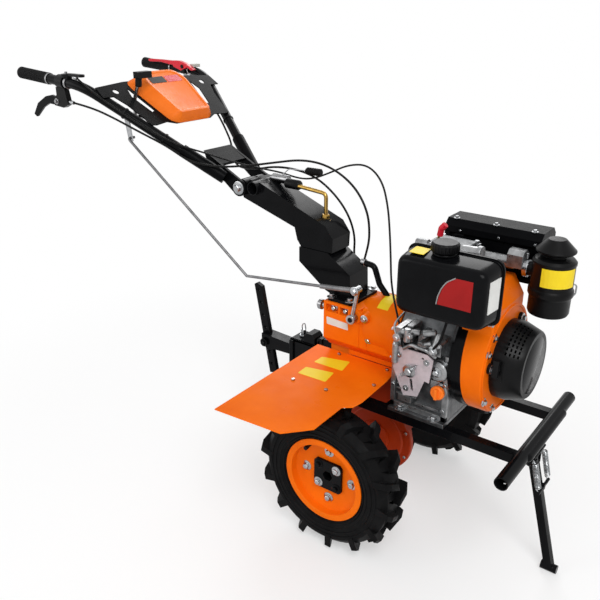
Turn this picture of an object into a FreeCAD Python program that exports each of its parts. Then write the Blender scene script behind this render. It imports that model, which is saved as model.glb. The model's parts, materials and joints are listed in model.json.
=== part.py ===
import FreeCAD, Part
import math
import os

# Walk-behind diesel power weeder: two driven wheels on one hex axle under a gearbox, an air-cooled diesel
# engine in front on two rails, a bumper with a folding stand, and a handlebar that swivels and tilts.
#
# Sizes are in millimetres. The pieces are laid out about the wheel axle: x forward, y to the left, z up from
# the ground. At export everything moves ahead by AXLE_X, so that the origin lies on the ground under the
# middle of the machine's outline.

Vector = FreeCAD.Vector
FIT = 0.3            # gap between pieces that sit on each other
RUNNING = 0.05       # radial play of a journal in its bore
AXLE_X = 313.5       # wheel axle ahead of the middle of the machine

# wheels
TYRE_R = 203.0       # over the lugs, and the height of the axle
TYRE_W = 90.0
TRACK = 524.0        # between the middles of the tyres
LUG_H = 19.0
LUG_PAIRS = 14
BEAD_R = 102.0
FLANGE_R = 115.0
RIM_HALF = 40.0
RIM_WALL = 4.0
DISC_OUT = 10.0      # rim disc outside the middle of the tyre
DISH_R = 74.0
DISH_RISE = 9.0      # the rest of the disc lies this much further out
HUB_PLATE = 84.0
HUB_PLATE_T = 8.0
SLEEVE_R = 24.0
SLEEVE_END = 150.0   # inner end of the hub sleeve from the machine's middle
HEX = 24.0           # hex axle across its flats
AXLE_END = 242.0
JOURNAL_R = 20.0
BOLT_RING_R = 65.0

# gearbox
CASE_HALF = 40.0     # final drive case, half its width
CASE_R = 111.0
BOSS_R = 44.0
BOSS_END = 54.0
CRANK_Z = 527.0      # engine shaft and clutch housing
BELL_R = 105.0
BELL_FLANGE_R = 118.0
BELL_FRONT = 57.0
BELL_REAR = -49.0
BELL_FLANGE_T = 12.0
BOX_REAR = -163.0
BOX_HALF = 72.0
BOX_BOTTOM = 440.0
BOX_TOP = 566.0
BOX_SLOPE = [(-150, BOX_TOP), (-142, 569), (-95, 601), (-49, 629), (-49, BOX_TOP)]   # top edge up to the bell
NECK_REAR = -82.0
NECK_FRONT = 55.0

# engine
RAIL = 25.0          # square rails under the engine
RAIL_Y = 116.0
RAIL_REAR = -30.0
CROSS_X = 60.0
BAR_Z = 343.7        # middle of the rails and of the bumper bar
ENGINE_HALF = 112.0
ENGINE_REAR = 80.0
SPIGOT_R = 104.0
ENGINE_FRONT = 235.0
CASE_TOP = 606.0
FOOT_T = 12.0
GASKET_T = 8.0
SHROUD_FRONT = 322.0
SHROUD_R = 138.0
SHROUD_TOP = 716.0
SHROUD_NEAR = 100.0
SHROUD_FAR = 80.0
SHROUD_LEAN = 16.0   # the shroud's rear edge is this much further forward at the bottom
STARTER_R = 98.0
STARTER_NOSE_R = 84.0
STARTER_FRONT = 392.0
CYLINDER_HALF = 62.0
CYLINDER_X = 158.0
CYLINDER_TOP = 716.0
HEAD_TOP = 752.0
ROCKER_TOP = 790.0
INLET_Y0 = 34.0
INLET_Y1 = 74.0
INLET_FRONT = 322.0
EXHAUST_X = 158.0
EXHAUST_R = 17.0

TANK = dict(x0=130.0, x1=350.0, y0=-230.0, y1=-122.0, z0=676.0, z1=820.0)
MUFFLER = dict(x0=97.0, x1=344.0, y0=86.0, y1=186.0, z0=690.0, z1=815.0)
CLEANER_X = 390.0
CLEANER_Y = 52.0
CLEANER_R = 49.0

# bumper and stand
BUMPER_X = 426.5
BUMPER_R = 16.5
BUMPER_HALF = 232.0
BUMPER_WALL = 2.5
GUARD_R = 7.0        # round bar in front of the bumper bar
GUARD_OUT = 26.0
GUARD_FAR = 182.0
GUARD_NEAR = -72.0
STAND_Y = -35.0
STAND_PIVOT_X = 432.0
STAND_PIVOT_Z = 306.0
STAND_FOOT_X = 510.0
STAND_TUBE = 20.0
STAND_PIN_R = 5.0

# fenders
FENDER_Z = 430.0
FENDER_T = 3.0
FENDER_EDGE = 480.0

# hitch and drag bar
HITCH_REAR = -308.0
HITCH_FRONT = -193.0
HITCH_HALF = 34.0
HITCH_WALL = 8.0
HITCH_BOTTOM = 319.0
HITCH_TOP = 454.0
HITCH_PIN_X = -258.0
HITCH_PIN_R = 8.0
ARM_REAR = -436.0
ARM_HALF = 20.0
ARM_BOTTOM = 330.0
DRAG_LEAN = 11.8     # degrees
BAR_PIN_X = -413.0
BAR_PIN_Z = 360.0

# handlebar
SWIVEL_X = -210.0    # upright swivel axis of the column
SEAM_Z = 702.0
SEAT_HALF = 45.0
SEAT_FOOT_HALF = 26.0
HEAD_HALF = 42.0
TILT_X = -468.0
TILT_Z = 837.0
TILT_PIN_R = 8.0
LOBE_IN = 50.0       # inner face of the yoke's side plates
LOBE_T = 8.0
LOBE_R = 24.0
TUBE_R = 14.0
TUBE_BEND = 170.0
SLEEVE_WALL = 4.0
SLEEVE_LENGTH = 62.0
SLEEVE_ROOT = 78.0   # how far the sleeve runs on towards the tilt bolt
GRIP_R = 17.0
GRIP_HALF = 241.0    # half the distance between the grips
GRIP_LENGTH = 130.0
SOCKET = Vector(-572, 94, 901)
BEND = Vector(-871, GRIP_HALF, 1101)
GRIP_END = Vector(-1150, GRIP_HALF, 1122)
TUBE_SLOPE = math.degrees(math.atan2(BEND.z - SOCKET.z, SOCKET.x - BEND.x))

# console: lengths run up the handle tubes from their sockets, in the plane that rests on both tubes
BRACKET_T = 3.0
COVER_T = 30.0

PARTS = {}


# ---------------------------------------------------------------- basic shapes

def box(x0, x1, y0, y1, z0, z1):
    """Block between two corners."""
    return Part.makeBox(x1 - x0, y1 - y0, z1 - z0, Vector(x0, y0, z0))


def rod(start, end, radius):
    """Cylinder from one point to another."""
    axis = end.sub(start)
    return Part.makeCylinder(radius, axis.Length, start, axis)


def rod_x(x0, x1, y, z, radius):
    return rod(Vector(x0, y, z), Vector(x1, y, z), radius)


def rod_y(x, y0, y1, z, radius):
    return rod(Vector(x, y0, z), Vector(x, y1, z), radius)


def rod_z(x, y, z0, z1, radius):
    return rod(Vector(x, y, z0), Vector(x, y, z1), radius)


def polygon(points):
    """Flat face with straight edges through the points."""
    return Part.Face(Part.makePolygon(points + [points[0]]))


def plate_y(outline, y0, y1):
    """Plate with an outline of (x, z) points, from y0 to y1."""
    return polygon([Vector(x, y0, z) for x, z in outline]).extrude(Vector(0, y1 - y0, 0))


def plate_x(outline, x0, x1):
    """Plate with an outline of (y, z) points, from x0 to x1."""
    return polygon([Vector(x0, y, z) for y, z in outline]).extrude(Vector(x1 - x0, 0, 0))


def plate_z(outline, z0, z1):
    """Plate with an outline of (x, y) points, from z0 to z1."""
    return polygon([Vector(x, y, z0) for x, y in outline]).extrude(Vector(0, 0, z1 - z0))


def fuse(shapes):
    """One solid out of several that touch."""
    whole = shapes[0]
    if len(shapes) > 1:
        whole = whole.multiFuse(shapes[1:])
    return whole.removeSplitter()


def arc_ends(before, corner, after, radius):
    """Start, middle and end of the arc of this radius that rounds a corner."""
    back = before.sub(corner).normalize()
    ahead = after.sub(corner).normalize()
    half = back.getAngle(ahead) / 2
    inward = back.add(ahead).normalize()
    cut = radius / math.tan(half)
    middle = corner.add(inward.multiply(radius / math.sin(half) - radius))
    return corner.add(back.multiply(cut)), middle, corner.add(ahead.multiply(cut))


def rounded(points, radii, closed=False):
    """Wire of straight runs joined by tangent arcs. radii has one value a corner."""
    count = len(points)
    corners = range(count) if closed else range(1, count - 1)
    arcs = {}
    for place, i in enumerate(corners):
        arcs[i] = arc_ends(points[i - 1], points[i], points[(i + 1) % count], radii[place])
    edges = []
    runs = count if closed else count - 1
    for i in range(runs):
        j = (i + 1) % count
        start = arcs[i][2] if i in arcs else points[i]
        end = arcs[j][0] if j in arcs else points[j]
        if start.distanceToPoint(end) > 0.01:
            edges.append(Part.LineSegment(start, end).toShape())
        if j in arcs:
            edges.append(Part.Arc(*arcs[j]).toShape())
    return Part.Wire(edges)


def bent_rod(points, radii, radius):
    """Round bar along straight runs and bends."""
    path = rounded(points, radii)
    ring = Part.Wire(Part.makeCircle(radius, points[0], points[1].sub(points[0])))
    return path.makePipe(Part.Face(ring))


def bent_tube(points, radii, radius, wall):
    return bent_rod(points, radii, radius).cut(bent_rod(points, radii, radius - wall))


def rounded_plate_y(outline, radius, y0, y1):
    """Plate with an outline of (x, z) points whose corners are rounded."""
    points = [Vector(x, y0, z) for x, z in outline]
    wire = rounded(points, [radius] * len(points), closed=True)
    return Part.Face(wire).extrude(Vector(0, y1 - y0, 0))


def turned(profile, centre, axis):
    """Ring of a profile of (radius, along) points about an axis through the centre."""
    side = Vector(0, 0, 1) if abs(axis.z) < 0.5 else Vector(1, 0, 0)
    points = []
    for radius, along in profile:
        points.append(centre + side * radius + axis * along)
    return polygon(points).revolve(centre, axis, 360)


def faceted_ring(profile, centre, flats):
    """Ring about y through the centre with this many flat sides, so that what is fused to it stays light."""
    rings = []
    for i in range(flats):
        turn = 2 * math.pi * (i + 0.5) / flats
        rings.append([centre + Vector(r * math.sin(turn), along, -r * math.cos(turn)) for r, along in profile])
    faces = []
    for i, here in enumerate(rings):
        there = rings[(i + 1) % flats]
        for k in range(len(profile)):
            j = (k + 1) % len(profile)
            faces.append(polygon([here[k], here[j], there[j], there[k]]))
    ring = Part.Solid(Part.Shell(faces))
    if ring.Volume < 0:
        ring.reverse()
    return ring


def mirrored(shape):
    """The same piece on the other side of the machine."""
    return shape.mirror(Vector(0, 0, 0), Vector(0, 1, 0))


def hexagon(x, z, flats, y0, y1):
    """Hexagonal bar along y."""
    corner = flats / math.sqrt(3)
    outline = []
    for i in range(6):
        turn = math.radians(60 * i)
        outline.append((x + corner * math.cos(turn), z + corner * math.sin(turn)))
    return plate_y(outline, y0, y1)


def add(name, shape):
    PARTS[name] = shape


# ---------------------------------------------------------------- wheels and axle

def tyre():
    """Right tyre: a carcass with slanting lugs that meet the middle of the tread by turns from each side."""
    middle = Vector(0, -TRACK / 2, TYRE_R)
    across = Vector(0, 1, 0)
    carcass_r = TYRE_R - LUG_H
    half = TYRE_W / 2
    bead = RIM_HALF - RIM_WALL - FIT
    profile = [(BEAD_R + FIT, -bead), (FLANGE_R + 2, -bead), (FLANGE_R + 14, -half), (carcass_r - 16, 1 - half),
               (carcass_r, 16 - half)]
    profile += [(r, -along) for r, along in reversed(profile)]
    carcass = faceted_ring(profile, middle, 4 * LUG_PAIRS)
    lugs = []
    step = 360.0 / LUG_PAIRS
    for i in range(LUG_PAIRS):
        for hand, lead in ((-1, 0.0), (1, step / 2)):
            # side view of one bar across the tread: its top falls away to the shoulder
            outline = [(carcass_r - 6, 0), (TYRE_R - 0.6, 0), (TYRE_R - 0.6, half - 14), (TYRE_R - 9, half + 1),
                       (carcass_r - 26, half + 1), (carcass_r - 26, half - 6)]
            face = polygon([Vector(-9, hand * along, -radius) for radius, along in outline])
            bar = face.extrude(Vector(18, 0, 0))
            slant = FreeCAD.Matrix()
            slant.A12 = hand * 0.5
            bar = bar.transformGeometry(slant)
            bar.rotate(Vector(0, 0, 0), across, i * step + lead)
            bar.translate(middle)
            lugs.append(bar)
    return fuse([carcass] + lugs)


def rim():
    """Right rim: barrel with bead flanges and a dished disc."""
    middle = Vector(0, -TRACK / 2, TYRE_R)
    across = Vector(0, 1, 0)
    inner = BEAD_R - RIM_WALL
    half = [(inner, RIM_HALF), (FLANGE_R, RIM_HALF), (FLANGE_R, RIM_HALF - RIM_WALL), (BEAD_R, RIM_HALF - RIM_WALL)]
    barrel = turned(half + [(r, -along) for r, along in reversed(half)], middle, across)
    dish = [(SLEEVE_R + FIT, -DISC_OUT), (DISH_R, -DISC_OUT), (inner + 1, -DISC_OUT - DISH_RISE),
            (inner + 1, RIM_WALL - DISC_OUT - DISH_RISE), (DISH_R, RIM_WALL - DISC_OUT), (SLEEVE_R + FIT, RIM_WALL - DISC_OUT)]
    return fuse([barrel, turned(dish, middle, across)])


def hub():
    """Right hub: a square plate on the rim disc and a hex-bored sleeve towards the gearbox."""
    face = -TRACK / 2 - DISC_OUT
    half = HUB_PLATE / 2
    corner = HUB_PLATE * 0.09
    outline = []
    for sx, sz in ((1, 1), (-1, 1), (-1, -1), (1, -1)):
        near = (sx * (half - corner), TYRE_R + sz * half)
        far = (sx * half, TYRE_R + sz * (half - corner))
        outline += [far, near] if sx * sz > 0 else [near, far]
    plate = plate_y(outline, face - HUB_PLATE_T, face)
    sleeve = rod_y(0, face, -SLEEVE_END, TYRE_R, SLEEVE_R)
    bore = hexagon(0, TYRE_R, HEX + 2 * FIT, face - HUB_PLATE_T - 1, -SLEEVE_END + 1)
    return fuse([plate, sleeve]).cut(bore)


def axle():
    """Hex axle with a round journal in the case and a collar outside each boss."""
    journal = rod_y(0, -BOSS_END, BOSS_END, TYRE_R, JOURNAL_R)
    bars = [journal]
    for hand in (-1, 1):
        bars.append(hexagon(0, TYRE_R, HEX, *sorted((hand * BOSS_END, hand * AXLE_END))))
        bars.append(rod_y(0, *sorted((hand * (BOSS_END + 1), hand * (BOSS_END + 12))), TYRE_R, JOURNAL_R))
        bars.append(rod_y(0, *sorted((hand * BOSS_END, hand * (BOSS_END + 1))), TYRE_R, JOURNAL_R))
    return fuse(bars)


def wheels():
    add("axle", axle())
    right = {"tyre": tyre(), "rim": rim(), "wheel_hub": hub()}
    for name, shape in right.items():
        add(name + "_right", shape)
        add(name + "_left", mirrored(shape))


# ---------------------------------------------------------------- gearbox

def final_drive_case():
    """Slab-sided case round the axle gears, with a boss each side, up to the gearbox."""
    outline = [(NECK_REAR, BOX_BOTTOM), (NECK_REAR - 4, 330), (-100, 250), (-105, 230), (100, 250), (66, 300), (42, 336),
               (NECK_FRONT - 6, 380), (NECK_FRONT, BOX_BOTTOM)]
    neck = plate_y(outline, -CASE_HALF, CASE_HALF)
    drum = rod_y(0, -CASE_HALF, CASE_HALF, TYRE_R, CASE_R)
    boss = rod_y(0, -BOSS_END, BOSS_END, TYRE_R, BOSS_R)
    bore = rod_y(0, -BOSS_END - 1, BOSS_END + 1, TYRE_R, JOURNAL_R + RUNNING)
    return fuse([neck, drum, boss]).cut(bore)


def clutch_housing():
    """Gearbox body and round clutch housing whose flange carries the engine."""
    bell = rod_x(BELL_REAR, BELL_FRONT, 0, CRANK_Z, BELL_R)
    flange = rod_x(BELL_FRONT - BELL_FLANGE_T, BELL_FRONT, 0, CRANK_Z, BELL_FLANGE_R)
    taper = Part.makeCone(46, BELL_R, BELL_REAR - BOX_REAR - 12, Vector(BOX_REAR + 12, 0, CRANK_Z), Vector(1, 0, 0))
    body = box(BOX_REAR, BELL_REAR, -BOX_HALF, BOX_HALF, BOX_BOTTOM, BOX_TOP)
    foot = box(NECK_REAR - 10, NECK_FRONT, -CASE_HALF - 8, CASE_HALF + 8, BOX_BOTTOM - 6, CRANK_Z - BELL_R + 20)
    slope = plate_y(BOX_SLOPE, -SEAT_HALF, SEAT_HALF)
    shell = fuse([bell, flange, taper, body, foot, slope])
    for x in (BOX_REAR + 12, BOX_REAR + 50):
        shell = shell.cut(box(x, x + 28, -BOX_HALF - 1, -BOX_HALF + 14, BOX_TOP - 26, BOX_TOP - 6))
    return shell


def gearbox():
    case = final_drive_case()
    housing = clutch_housing()
    add("final_drive_case", case.cut(housing))
    add("clutch_housing", housing)
    cover = box(BOX_REAR + 10, BOX_REAR + 88, -BOX_HALF + 4, -BOX_HALF + 44, BOX_TOP, BOX_TOP + 10)
    add("shift_cover", cover.cut(housing))
    lever_x = -60.0
    lever_y = -BOX_HALF
    hub_end = lever_y - 26
    pivot = rod_y(lever_x, hub_end, lever_y, 556, 12)
    arm = rod(Vector(lever_x, hub_end + 8, 556), Vector(lever_x + 12, hub_end + 4, 640), 6)
    add("gear_lever", fuse([pivot, arm]).cut(housing))


# ---------------------------------------------------------------- frame, bumper and stand

def frame():
    """Square rails under the engine, a cross bar between them and the bumper tube with its guard and stand ears."""
    bar = rod_y(BUMPER_X, -BUMPER_HALF, BUMPER_HALF, BAR_Z, BUMPER_R)
    bore = rod_y(BUMPER_X, -BUMPER_HALF - 1, BUMPER_HALF + 1, BAR_Z, BUMPER_R - BUMPER_WALL)
    low = BAR_Z - RAIL / 2
    high = BAR_Z + RAIL / 2
    for y, side in ((-RAIL_Y, "right"), (RAIL_Y, "left")):
        add("engine_rail_" + side, box(RAIL_REAR, BUMPER_X, y - RAIL / 2, y + RAIL / 2, low, high).cut(bar))
    inner = RAIL_Y - RAIL / 2
    add("rail_cross", box(CROSS_X, CROSS_X + RAIL, -inner, inner, low, high))
    ears = []
    half = STAND_TUBE / 2
    for hand in (-1, 1):
        near, far = sorted((STAND_Y + hand * (half + 2), STAND_Y + hand * (half + 7)))
        ears.append(box(STAND_PIVOT_X - 14, STAND_PIVOT_X + 14, near, far, STAND_PIVOT_Z - 14, BAR_Z).cut(bar))
    pin = rod_y(STAND_PIVOT_X, STAND_Y - half - 10, STAND_Y + half + 10, STAND_PIVOT_Z, STAND_PIN_R)
    front = BUMPER_X + GUARD_OUT
    guard = bent_rod([Vector(BUMPER_X, GUARD_FAR, BAR_Z), Vector(front, GUARD_FAR - 10, BAR_Z),
                      Vector(front, GUARD_NEAR + 32, BAR_Z), Vector(BUMPER_X, GUARD_NEAR, BAR_Z)], [14, 14], GUARD_R)
    add("bumper_bar", fuse([bar.cut(bore), guard.cut(bar)] + ears + [pin]))


def stand():
    pivot = Vector(STAND_PIVOT_X, STAND_Y, STAND_PIVOT_Z)
    foot = Vector(STAND_FOOT_X, STAND_Y, 14)
    axis = foot.sub(pivot)
    top = pivot.sub(Vector(axis).normalize().multiply(12))
    half = STAND_TUBE / 2
    side = Vector(axis.z, 0, -axis.x).normalize()
    face = polygon([top + side * half - Vector(0, half, 0), top + side * half + Vector(0, half, 0),
                    top - side * half + Vector(0, half, 0), top - side * half - Vector(0, half, 0)])
    leg = face.extrude(foot.sub(top))
    foot_tube = rod_x(STAND_FOOT_X - 20, STAND_FOOT_X + 20, STAND_Y, 11, 11)
    hole = rod_y(STAND_PIVOT_X, STAND_Y - half - 1, STAND_Y + half + 1, STAND_PIVOT_Z, STAND_PIN_R + RUNNING)
    add("stand_leg", fuse([leg, foot_tube]).cut(hole))


# ---------------------------------------------------------------- engine

def crankcase():
    rail_top = BAR_Z + RAIL / 2
    foot = box(ENGINE_REAR, ENGINE_FRONT, -RAIL_Y - 14, RAIL_Y + 14, rail_top, rail_top + FOOT_T)
    main = box(ENGINE_REAR, ENGINE_FRONT, -ENGINE_HALF, ENGINE_HALF, rail_top + FOOT_T, CASE_TOP)
    spigot = rod_x(BELL_FRONT, ENGINE_REAR, 0, CRANK_Z, SPIGOT_R)
    corner = []
    for hand in (-1, 1):
        edge = hand * ENGINE_HALF
        corner.append(plate_x([(edge, CASE_TOP - 60), (edge, CASE_TOP + 1), (edge - hand * 46, CASE_TOP + 1)], 0, 300))
    for cut in corner:
        main = main.cut(cut)
    return fuse([foot, main, spigot])


def cylinder():
    half = CYLINDER_HALF
    barrel = box(CYLINDER_X - half + 8, CYLINDER_X + half - 8, -half + 8, half - 8, CASE_TOP, CYLINDER_TOP)
    head = box(CYLINDER_X - half, CYLINDER_X + half, -half, half, CYLINDER_TOP, HEAD_TOP)
    fins = [barrel, head]
    step = 13.0
    z = CASE_TOP + 6
    while z < CYLINDER_TOP - 4:
        fins.append(box(CYLINDER_X - half, CYLINDER_X + half, -half, half, z, z + 3))
        z += step
    return fuse(fins)


def shroud():
    """Fan housing: round about the crankshaft, straight sides up to the cylinder head."""
    x0 = ENGINE_FRONT + GASKET_T
    drum = rod_x(x0, SHROUD_FRONT, 0, CRANK_Z, SHROUD_R)
    duct = plate_y([(x0, CRANK_Z), (x0, SHROUD_TOP), (x0 + 52, SHROUD_TOP), (SHROUD_FRONT, SHROUD_TOP - 46),
                    (SHROUD_FRONT, CRANK_Z)], -SHROUD_NEAR, SHROUD_FAR)
    return fuse([drum, duct]).cut(back_wedge())


def back_wedge():
    """Wedge between the crankcase and the leaning rear edge of the shroud."""
    x0 = ENGINE_FRONT
    bottom = CRANK_Z - SHROUD_R - 1
    lean = [(x0, bottom), (x0 + GASKET_T + SHROUD_LEAN, bottom), (x0 + GASKET_T, CRANK_Z + 60), (x0, CRANK_Z + 60)]
    return plate_y(lean, -SHROUD_R - 1, SHROUD_R + 1)


def starter():
    """Recoil starter: slotted cup with a conical nose."""
    cup = turned([(0, 0), (STARTER_R, 0), (STARTER_R, 26), (STARTER_NOSE_R, STARTER_FRONT - SHROUD_FRONT),
                  (0, STARTER_FRONT - SHROUD_FRONT)], Vector(SHROUD_FRONT, 0, CRANK_Z), Vector(1, 0, 0))
    return cup


def tank():
    t = TANK
    r = 26
    outline = [(t["x0"], t["z0"]), (t["x1"], t["z0"]), (t["x1"], t["z1"]), (t["x0"], t["z1"])]
    body = rounded_plate_y(outline, r, t["y0"], t["y1"])
    seam_y = (t["y0"] + t["y1"]) / 2
    seam = rounded_plate_y([(t["x0"] - 5, t["z0"] - 5), (t["x1"] + 5, t["z0"] - 5), (t["x1"] + 5, t["z1"] + 5),
                            (t["x0"] - 5, t["z1"] + 5)], r + 5, seam_y + 18, seam_y + 21)
    return fuse([body, seam])


def tank_bracket():
    """Plate behind the tank on two arms from the cylinder head."""
    t = TANK
    back = t["y1"] + FIT
    plate = box(t["x0"] + 20, t["x1"] - 50, back, back + 5, t["z0"] + 10, HEAD_TOP + 10)
    arms = []
    for x in (CYLINDER_X - CYLINDER_HALF + 14, CYLINDER_X + CYLINDER_HALF - 34):
        arms.append(box(x, x + 20, back, -CYLINDER_HALF, CYLINDER_TOP + 8, HEAD_TOP - 8))
    return fuse([plate] + arms)


def inlet():
    """Cast inlet pipe from the front of the cylinder head to the air cleaner's hose."""
    face = CYLINDER_X + CYLINDER_HALF
    outline = [(face, CYLINDER_TOP + 6), (face + 36, CYLINDER_TOP + 6), (INLET_FRONT, HEAD_TOP - 4),
               (INLET_FRONT, HEAD_TOP + 31), (face + 34, HEAD_TOP + 31), (face, HEAD_TOP)]
    return plate_y(outline, INLET_Y0, INLET_Y1)


def muffler():
    """Muffler box with chamfered long edges, on a stub from the cylinder head."""
    m = MUFFLER
    c = 16
    outline = [(m["y0"], m["z0"]), (m["y1"], m["z0"]), (m["y1"], m["z1"] - c), (m["y1"] - c, m["z1"]), (m["y0"] + c, m["z1"]),
               (m["y0"], m["z1"] - c)]
    stub = rod_y(EXHAUST_X, CYLINDER_HALF, m["y0"] + 1, (CYLINDER_TOP + HEAD_TOP) / 2, EXHAUST_R)
    return fuse([plate_x(outline, m["x0"], m["x1"]), stub])


def engine():
    add("engine_crankcase", crankcase())
    add("engine_cylinder", cylinder())
    add("rocker_cover", box(CYLINDER_X - 50, CYLINDER_X + 58, -46, 46, HEAD_TOP, ROCKER_TOP))
    disc = rod_x(ENGINE_FRONT, ENGINE_FRONT + GASKET_T + SHROUD_LEAN, 0, CRANK_Z, SHROUD_R - 3)
    add("back_plate", disc.common(back_wedge()))
    add("fan_shroud", shroud())
    add("recoil_starter", starter())
    add("fuel_tank", tank())
    cap_y = (TANK["y0"] + TANK["y1"]) / 2
    add("tank_cap", rod_z(224, cap_y, TANK["z1"] + 5, TANK["z1"] + 26, 31))
    add("tank_bracket", tank_bracket())
    add("inlet_pipe", inlet())
    add("muffler", muffler())
    bowl = rod_z(CLEANER_X, CLEANER_Y, 640, 678, CLEANER_R - 4)
    body = rod_z(CLEANER_X, CLEANER_Y, 678, 776, CLEANER_R)
    neck = rod_z(CLEANER_X, CLEANER_Y, 776, 790, 26)
    cap = Part.makeCone(CLEANER_R, 12, 20, Vector(CLEANER_X, CLEANER_Y, 790), Vector(0, 0, 1))
    hose = rod_x(INLET_FRONT, CLEANER_X, (INLET_Y0 + INLET_Y1) / 2, HEAD_TOP + 13, 15)
    add("air_cleaner", fuse([bowl, body, neck, cap, hose]))


# ---------------------------------------------------------------- fenders and hitch

def fender():
    """Right fender: a flat plate beside the gearbox over the wheel, with its outer part bent down a little."""
    outline = [(-195, -52), (-190, -FENDER_EDGE), (-2, -467), (49, -408), (47, -292), (68, -276), (73, -244), (68, -119),
               (61, -62), (54, -52)]
    plate = plate_z(outline, FENDER_Z - FENDER_T, FENDER_Z)
    return plate


def fenders():
    housing = PARTS["clutch_housing"]
    add("fender_right", fender().cut(housing))
    add("fender_left", mirrored(fender()).cut(housing))
    hitch()


def hitch():
    """Bracket behind the gearbox, the pinned arm in it and the drag bar that hangs through the arm."""
    inner = HITCH_HALF - HITCH_WALL
    sides = [box(HITCH_REAR, HITCH_FRONT, *sorted((hand * inner, hand * HITCH_HALF)), HITCH_BOTTOM, HITCH_TOP)
             for hand in (-1, 1)]
    floor = box(HITCH_REAR, HITCH_FRONT, -HITCH_HALF, HITCH_HALF, HITCH_BOTTOM, ARM_BOTTOM - FIT)
    roof = box(HITCH_REAR, HITCH_FRONT, -HITCH_HALF, HITCH_HALF, HITCH_TOP - HITCH_WALL, HITCH_TOP)
    web = box(HITCH_FRONT - 12, HITCH_FRONT, -HITCH_HALF, HITCH_HALF, HITCH_BOTTOM, HITCH_TOP + 46)
    mount = box(HITCH_FRONT, BOX_REAR, -30, 30, BOX_BOTTOM + 6, HITCH_TOP + 46)
    hole = rod_z(HITCH_PIN_X, 0, HITCH_BOTTOM - 1, HITCH_TOP + 1, HITCH_PIN_R + FIT)
    add("hitch_bracket", fuse(sides + [floor, roof, web, mount]).cut(hole))
    pin = rod_z(HITCH_PIN_X, 0, HITCH_BOTTOM - 12, HITCH_TOP + 23, HITCH_PIN_R)
    head = rod_z(HITCH_PIN_X, 0, HITCH_TOP + FIT, HITCH_TOP + 6, HITCH_PIN_R + 4)
    add("hitch_pin", fuse([pin, head]))
    add("drag_bar", drag_bar(0).cut(rod_y(BAR_PIN_X, -30, 30, BAR_PIN_Z, 5 + FIT)))
    arm = box(ARM_REAR, HITCH_FRONT - 12 - 20, -ARM_HALF, ARM_HALF, ARM_BOTTOM, ARM_BOTTOM + 58)
    bar_pin = rod_y(BAR_PIN_X, -ARM_HALF - 6, ARM_HALF + 6, BAR_PIN_Z, 5)
    add("drag_bar_arm", fuse([arm.cut(drag_bar(FIT)).cut(hole), bar_pin]))


def drag_bar(gap):
    """Flat bar that leans back, or with a gap the slot for it."""
    bar = box(-14 - gap, 14 + gap, -7 - gap, 7 + gap, -292, 0)
    bar.rotate(Vector(0, 0, 0), Vector(0, 1, 0), -DRAG_LEAN)
    bar.translate(Vector(-450, 0, 541))
    return bar


# ---------------------------------------------------------------- handlebar column

def column():
    seat = plate_y([(-266, SEAM_Z - FIT), (-266, 660), (-178, 596), (-82, 622), (-105, 654), (-172, SEAM_Z - FIT)],
                   -SEAT_HALF, SEAT_HALF)
    foot = plate_y([(x, z + FIT) for x, z in BOX_SLOPE[:3]] + [(-82, 622), (-178, 596)], -SEAT_FOOT_HALF, SEAT_FOOT_HALF)
    add("handlebar_seat", fuse([seat, foot]).cut(PARTS["clutch_housing"]))
    outline = [(-262, SEAM_Z), (-275, 719), (-284, 752), (-464, 807), (-470, 826), (-440, 862), (-404, 858), (-182, 773), (-158, 742),
               (-160, SEAM_Z)]
    head = plate_y(outline, -HEAD_HALF, HEAD_HALF)
    cross = rod_y(-418, -58, 58, 842, 19)
    cross_bore = rod_y(-418, -59, 59, 842, 16)
    hole = rod_y(TILT_X, -100, 100, TILT_Z, TILT_PIN_R + RUNNING)
    boss = rod_y(TILT_X, -HEAD_HALF, HEAD_HALF, TILT_Z, 22)
    add("handlebar_column", fuse([head, cross, boss]).cut(cross_bore).cut(hole))
    clamp = bent_rod([Vector(SWIVEL_X, 0, 780), Vector(SWIVEL_X, 0, 846), Vector(SWIVEL_X - 80, 0, 854)], [14], 5.5)
    add("swivel_clamp", clamp.cut(PARTS["handlebar_column"]))


def tube_points(hand):
    """Corners of one handle tube: hand is 1 on the left and -1 on the right."""
    return [Vector(p.x, hand * p.y, p.z) for p in (SOCKET, BEND, GRIP_END)]


def yoke():
    """Side plates on the tilt bolt, a web between them and a sleeve for each handle tube."""
    top_rear = (SOCKET.x - 24, SOCKET.z + 26)
    low_rear = (SOCKET.x - 10, SOCKET.z - 8)
    outline = [(TILT_X + 12, TILT_Z + 20), top_rear, low_rear, (TILT_X - 12, TILT_Z - 20)]
    pieces = []
    for hand in (-1, 1):
        near, far = sorted((hand * LOBE_IN, hand * (LOBE_IN + LOBE_T)))
        pieces.append(rod_y(TILT_X, near, far, TILT_Z, LOBE_R))
        pieces.append(plate_y(outline, near, far))
        start, bend, end = tube_points(hand)
        ahead = bend.sub(start).normalize()
        pieces.append(rod(start - ahead * SLEEVE_ROOT, start + ahead * SLEEVE_LENGTH, TUBE_R + SLEEVE_WALL))
    pieces.append(plate_y([(SOCKET.x + 34, SOCKET.z - 14), (SOCKET.x + 38, SOCKET.z - 6), top_rear,
                           (top_rear[0] - 4, top_rear[1] - 8)], -LOBE_IN, LOBE_IN))
    pieces.append(rod_y(TILT_X, -LOBE_IN - LOBE_T - 8, LOBE_IN + LOBE_T + 8, TILT_Z, TILT_PIN_R))
    whole = fuse(pieces)
    for hand in (-1, 1):
        start, bend, end = tube_points(hand)
        ahead = bend.sub(start).normalize()
        whole = whole.cut(rod(start, start + ahead * (SLEEVE_LENGTH + 40), TUBE_R + FIT))
    return whole


def on_tubes(shape):
    """Put a piece drawn with x down the tubes from their sockets, z off their plane, where it belongs."""
    shape.rotate(Vector(0, 0, 0), Vector(0, 1, 0), TUBE_SLOPE)
    shape.translate(Vector(SOCKET.x, 0, SOCKET.z))
    return shape


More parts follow.
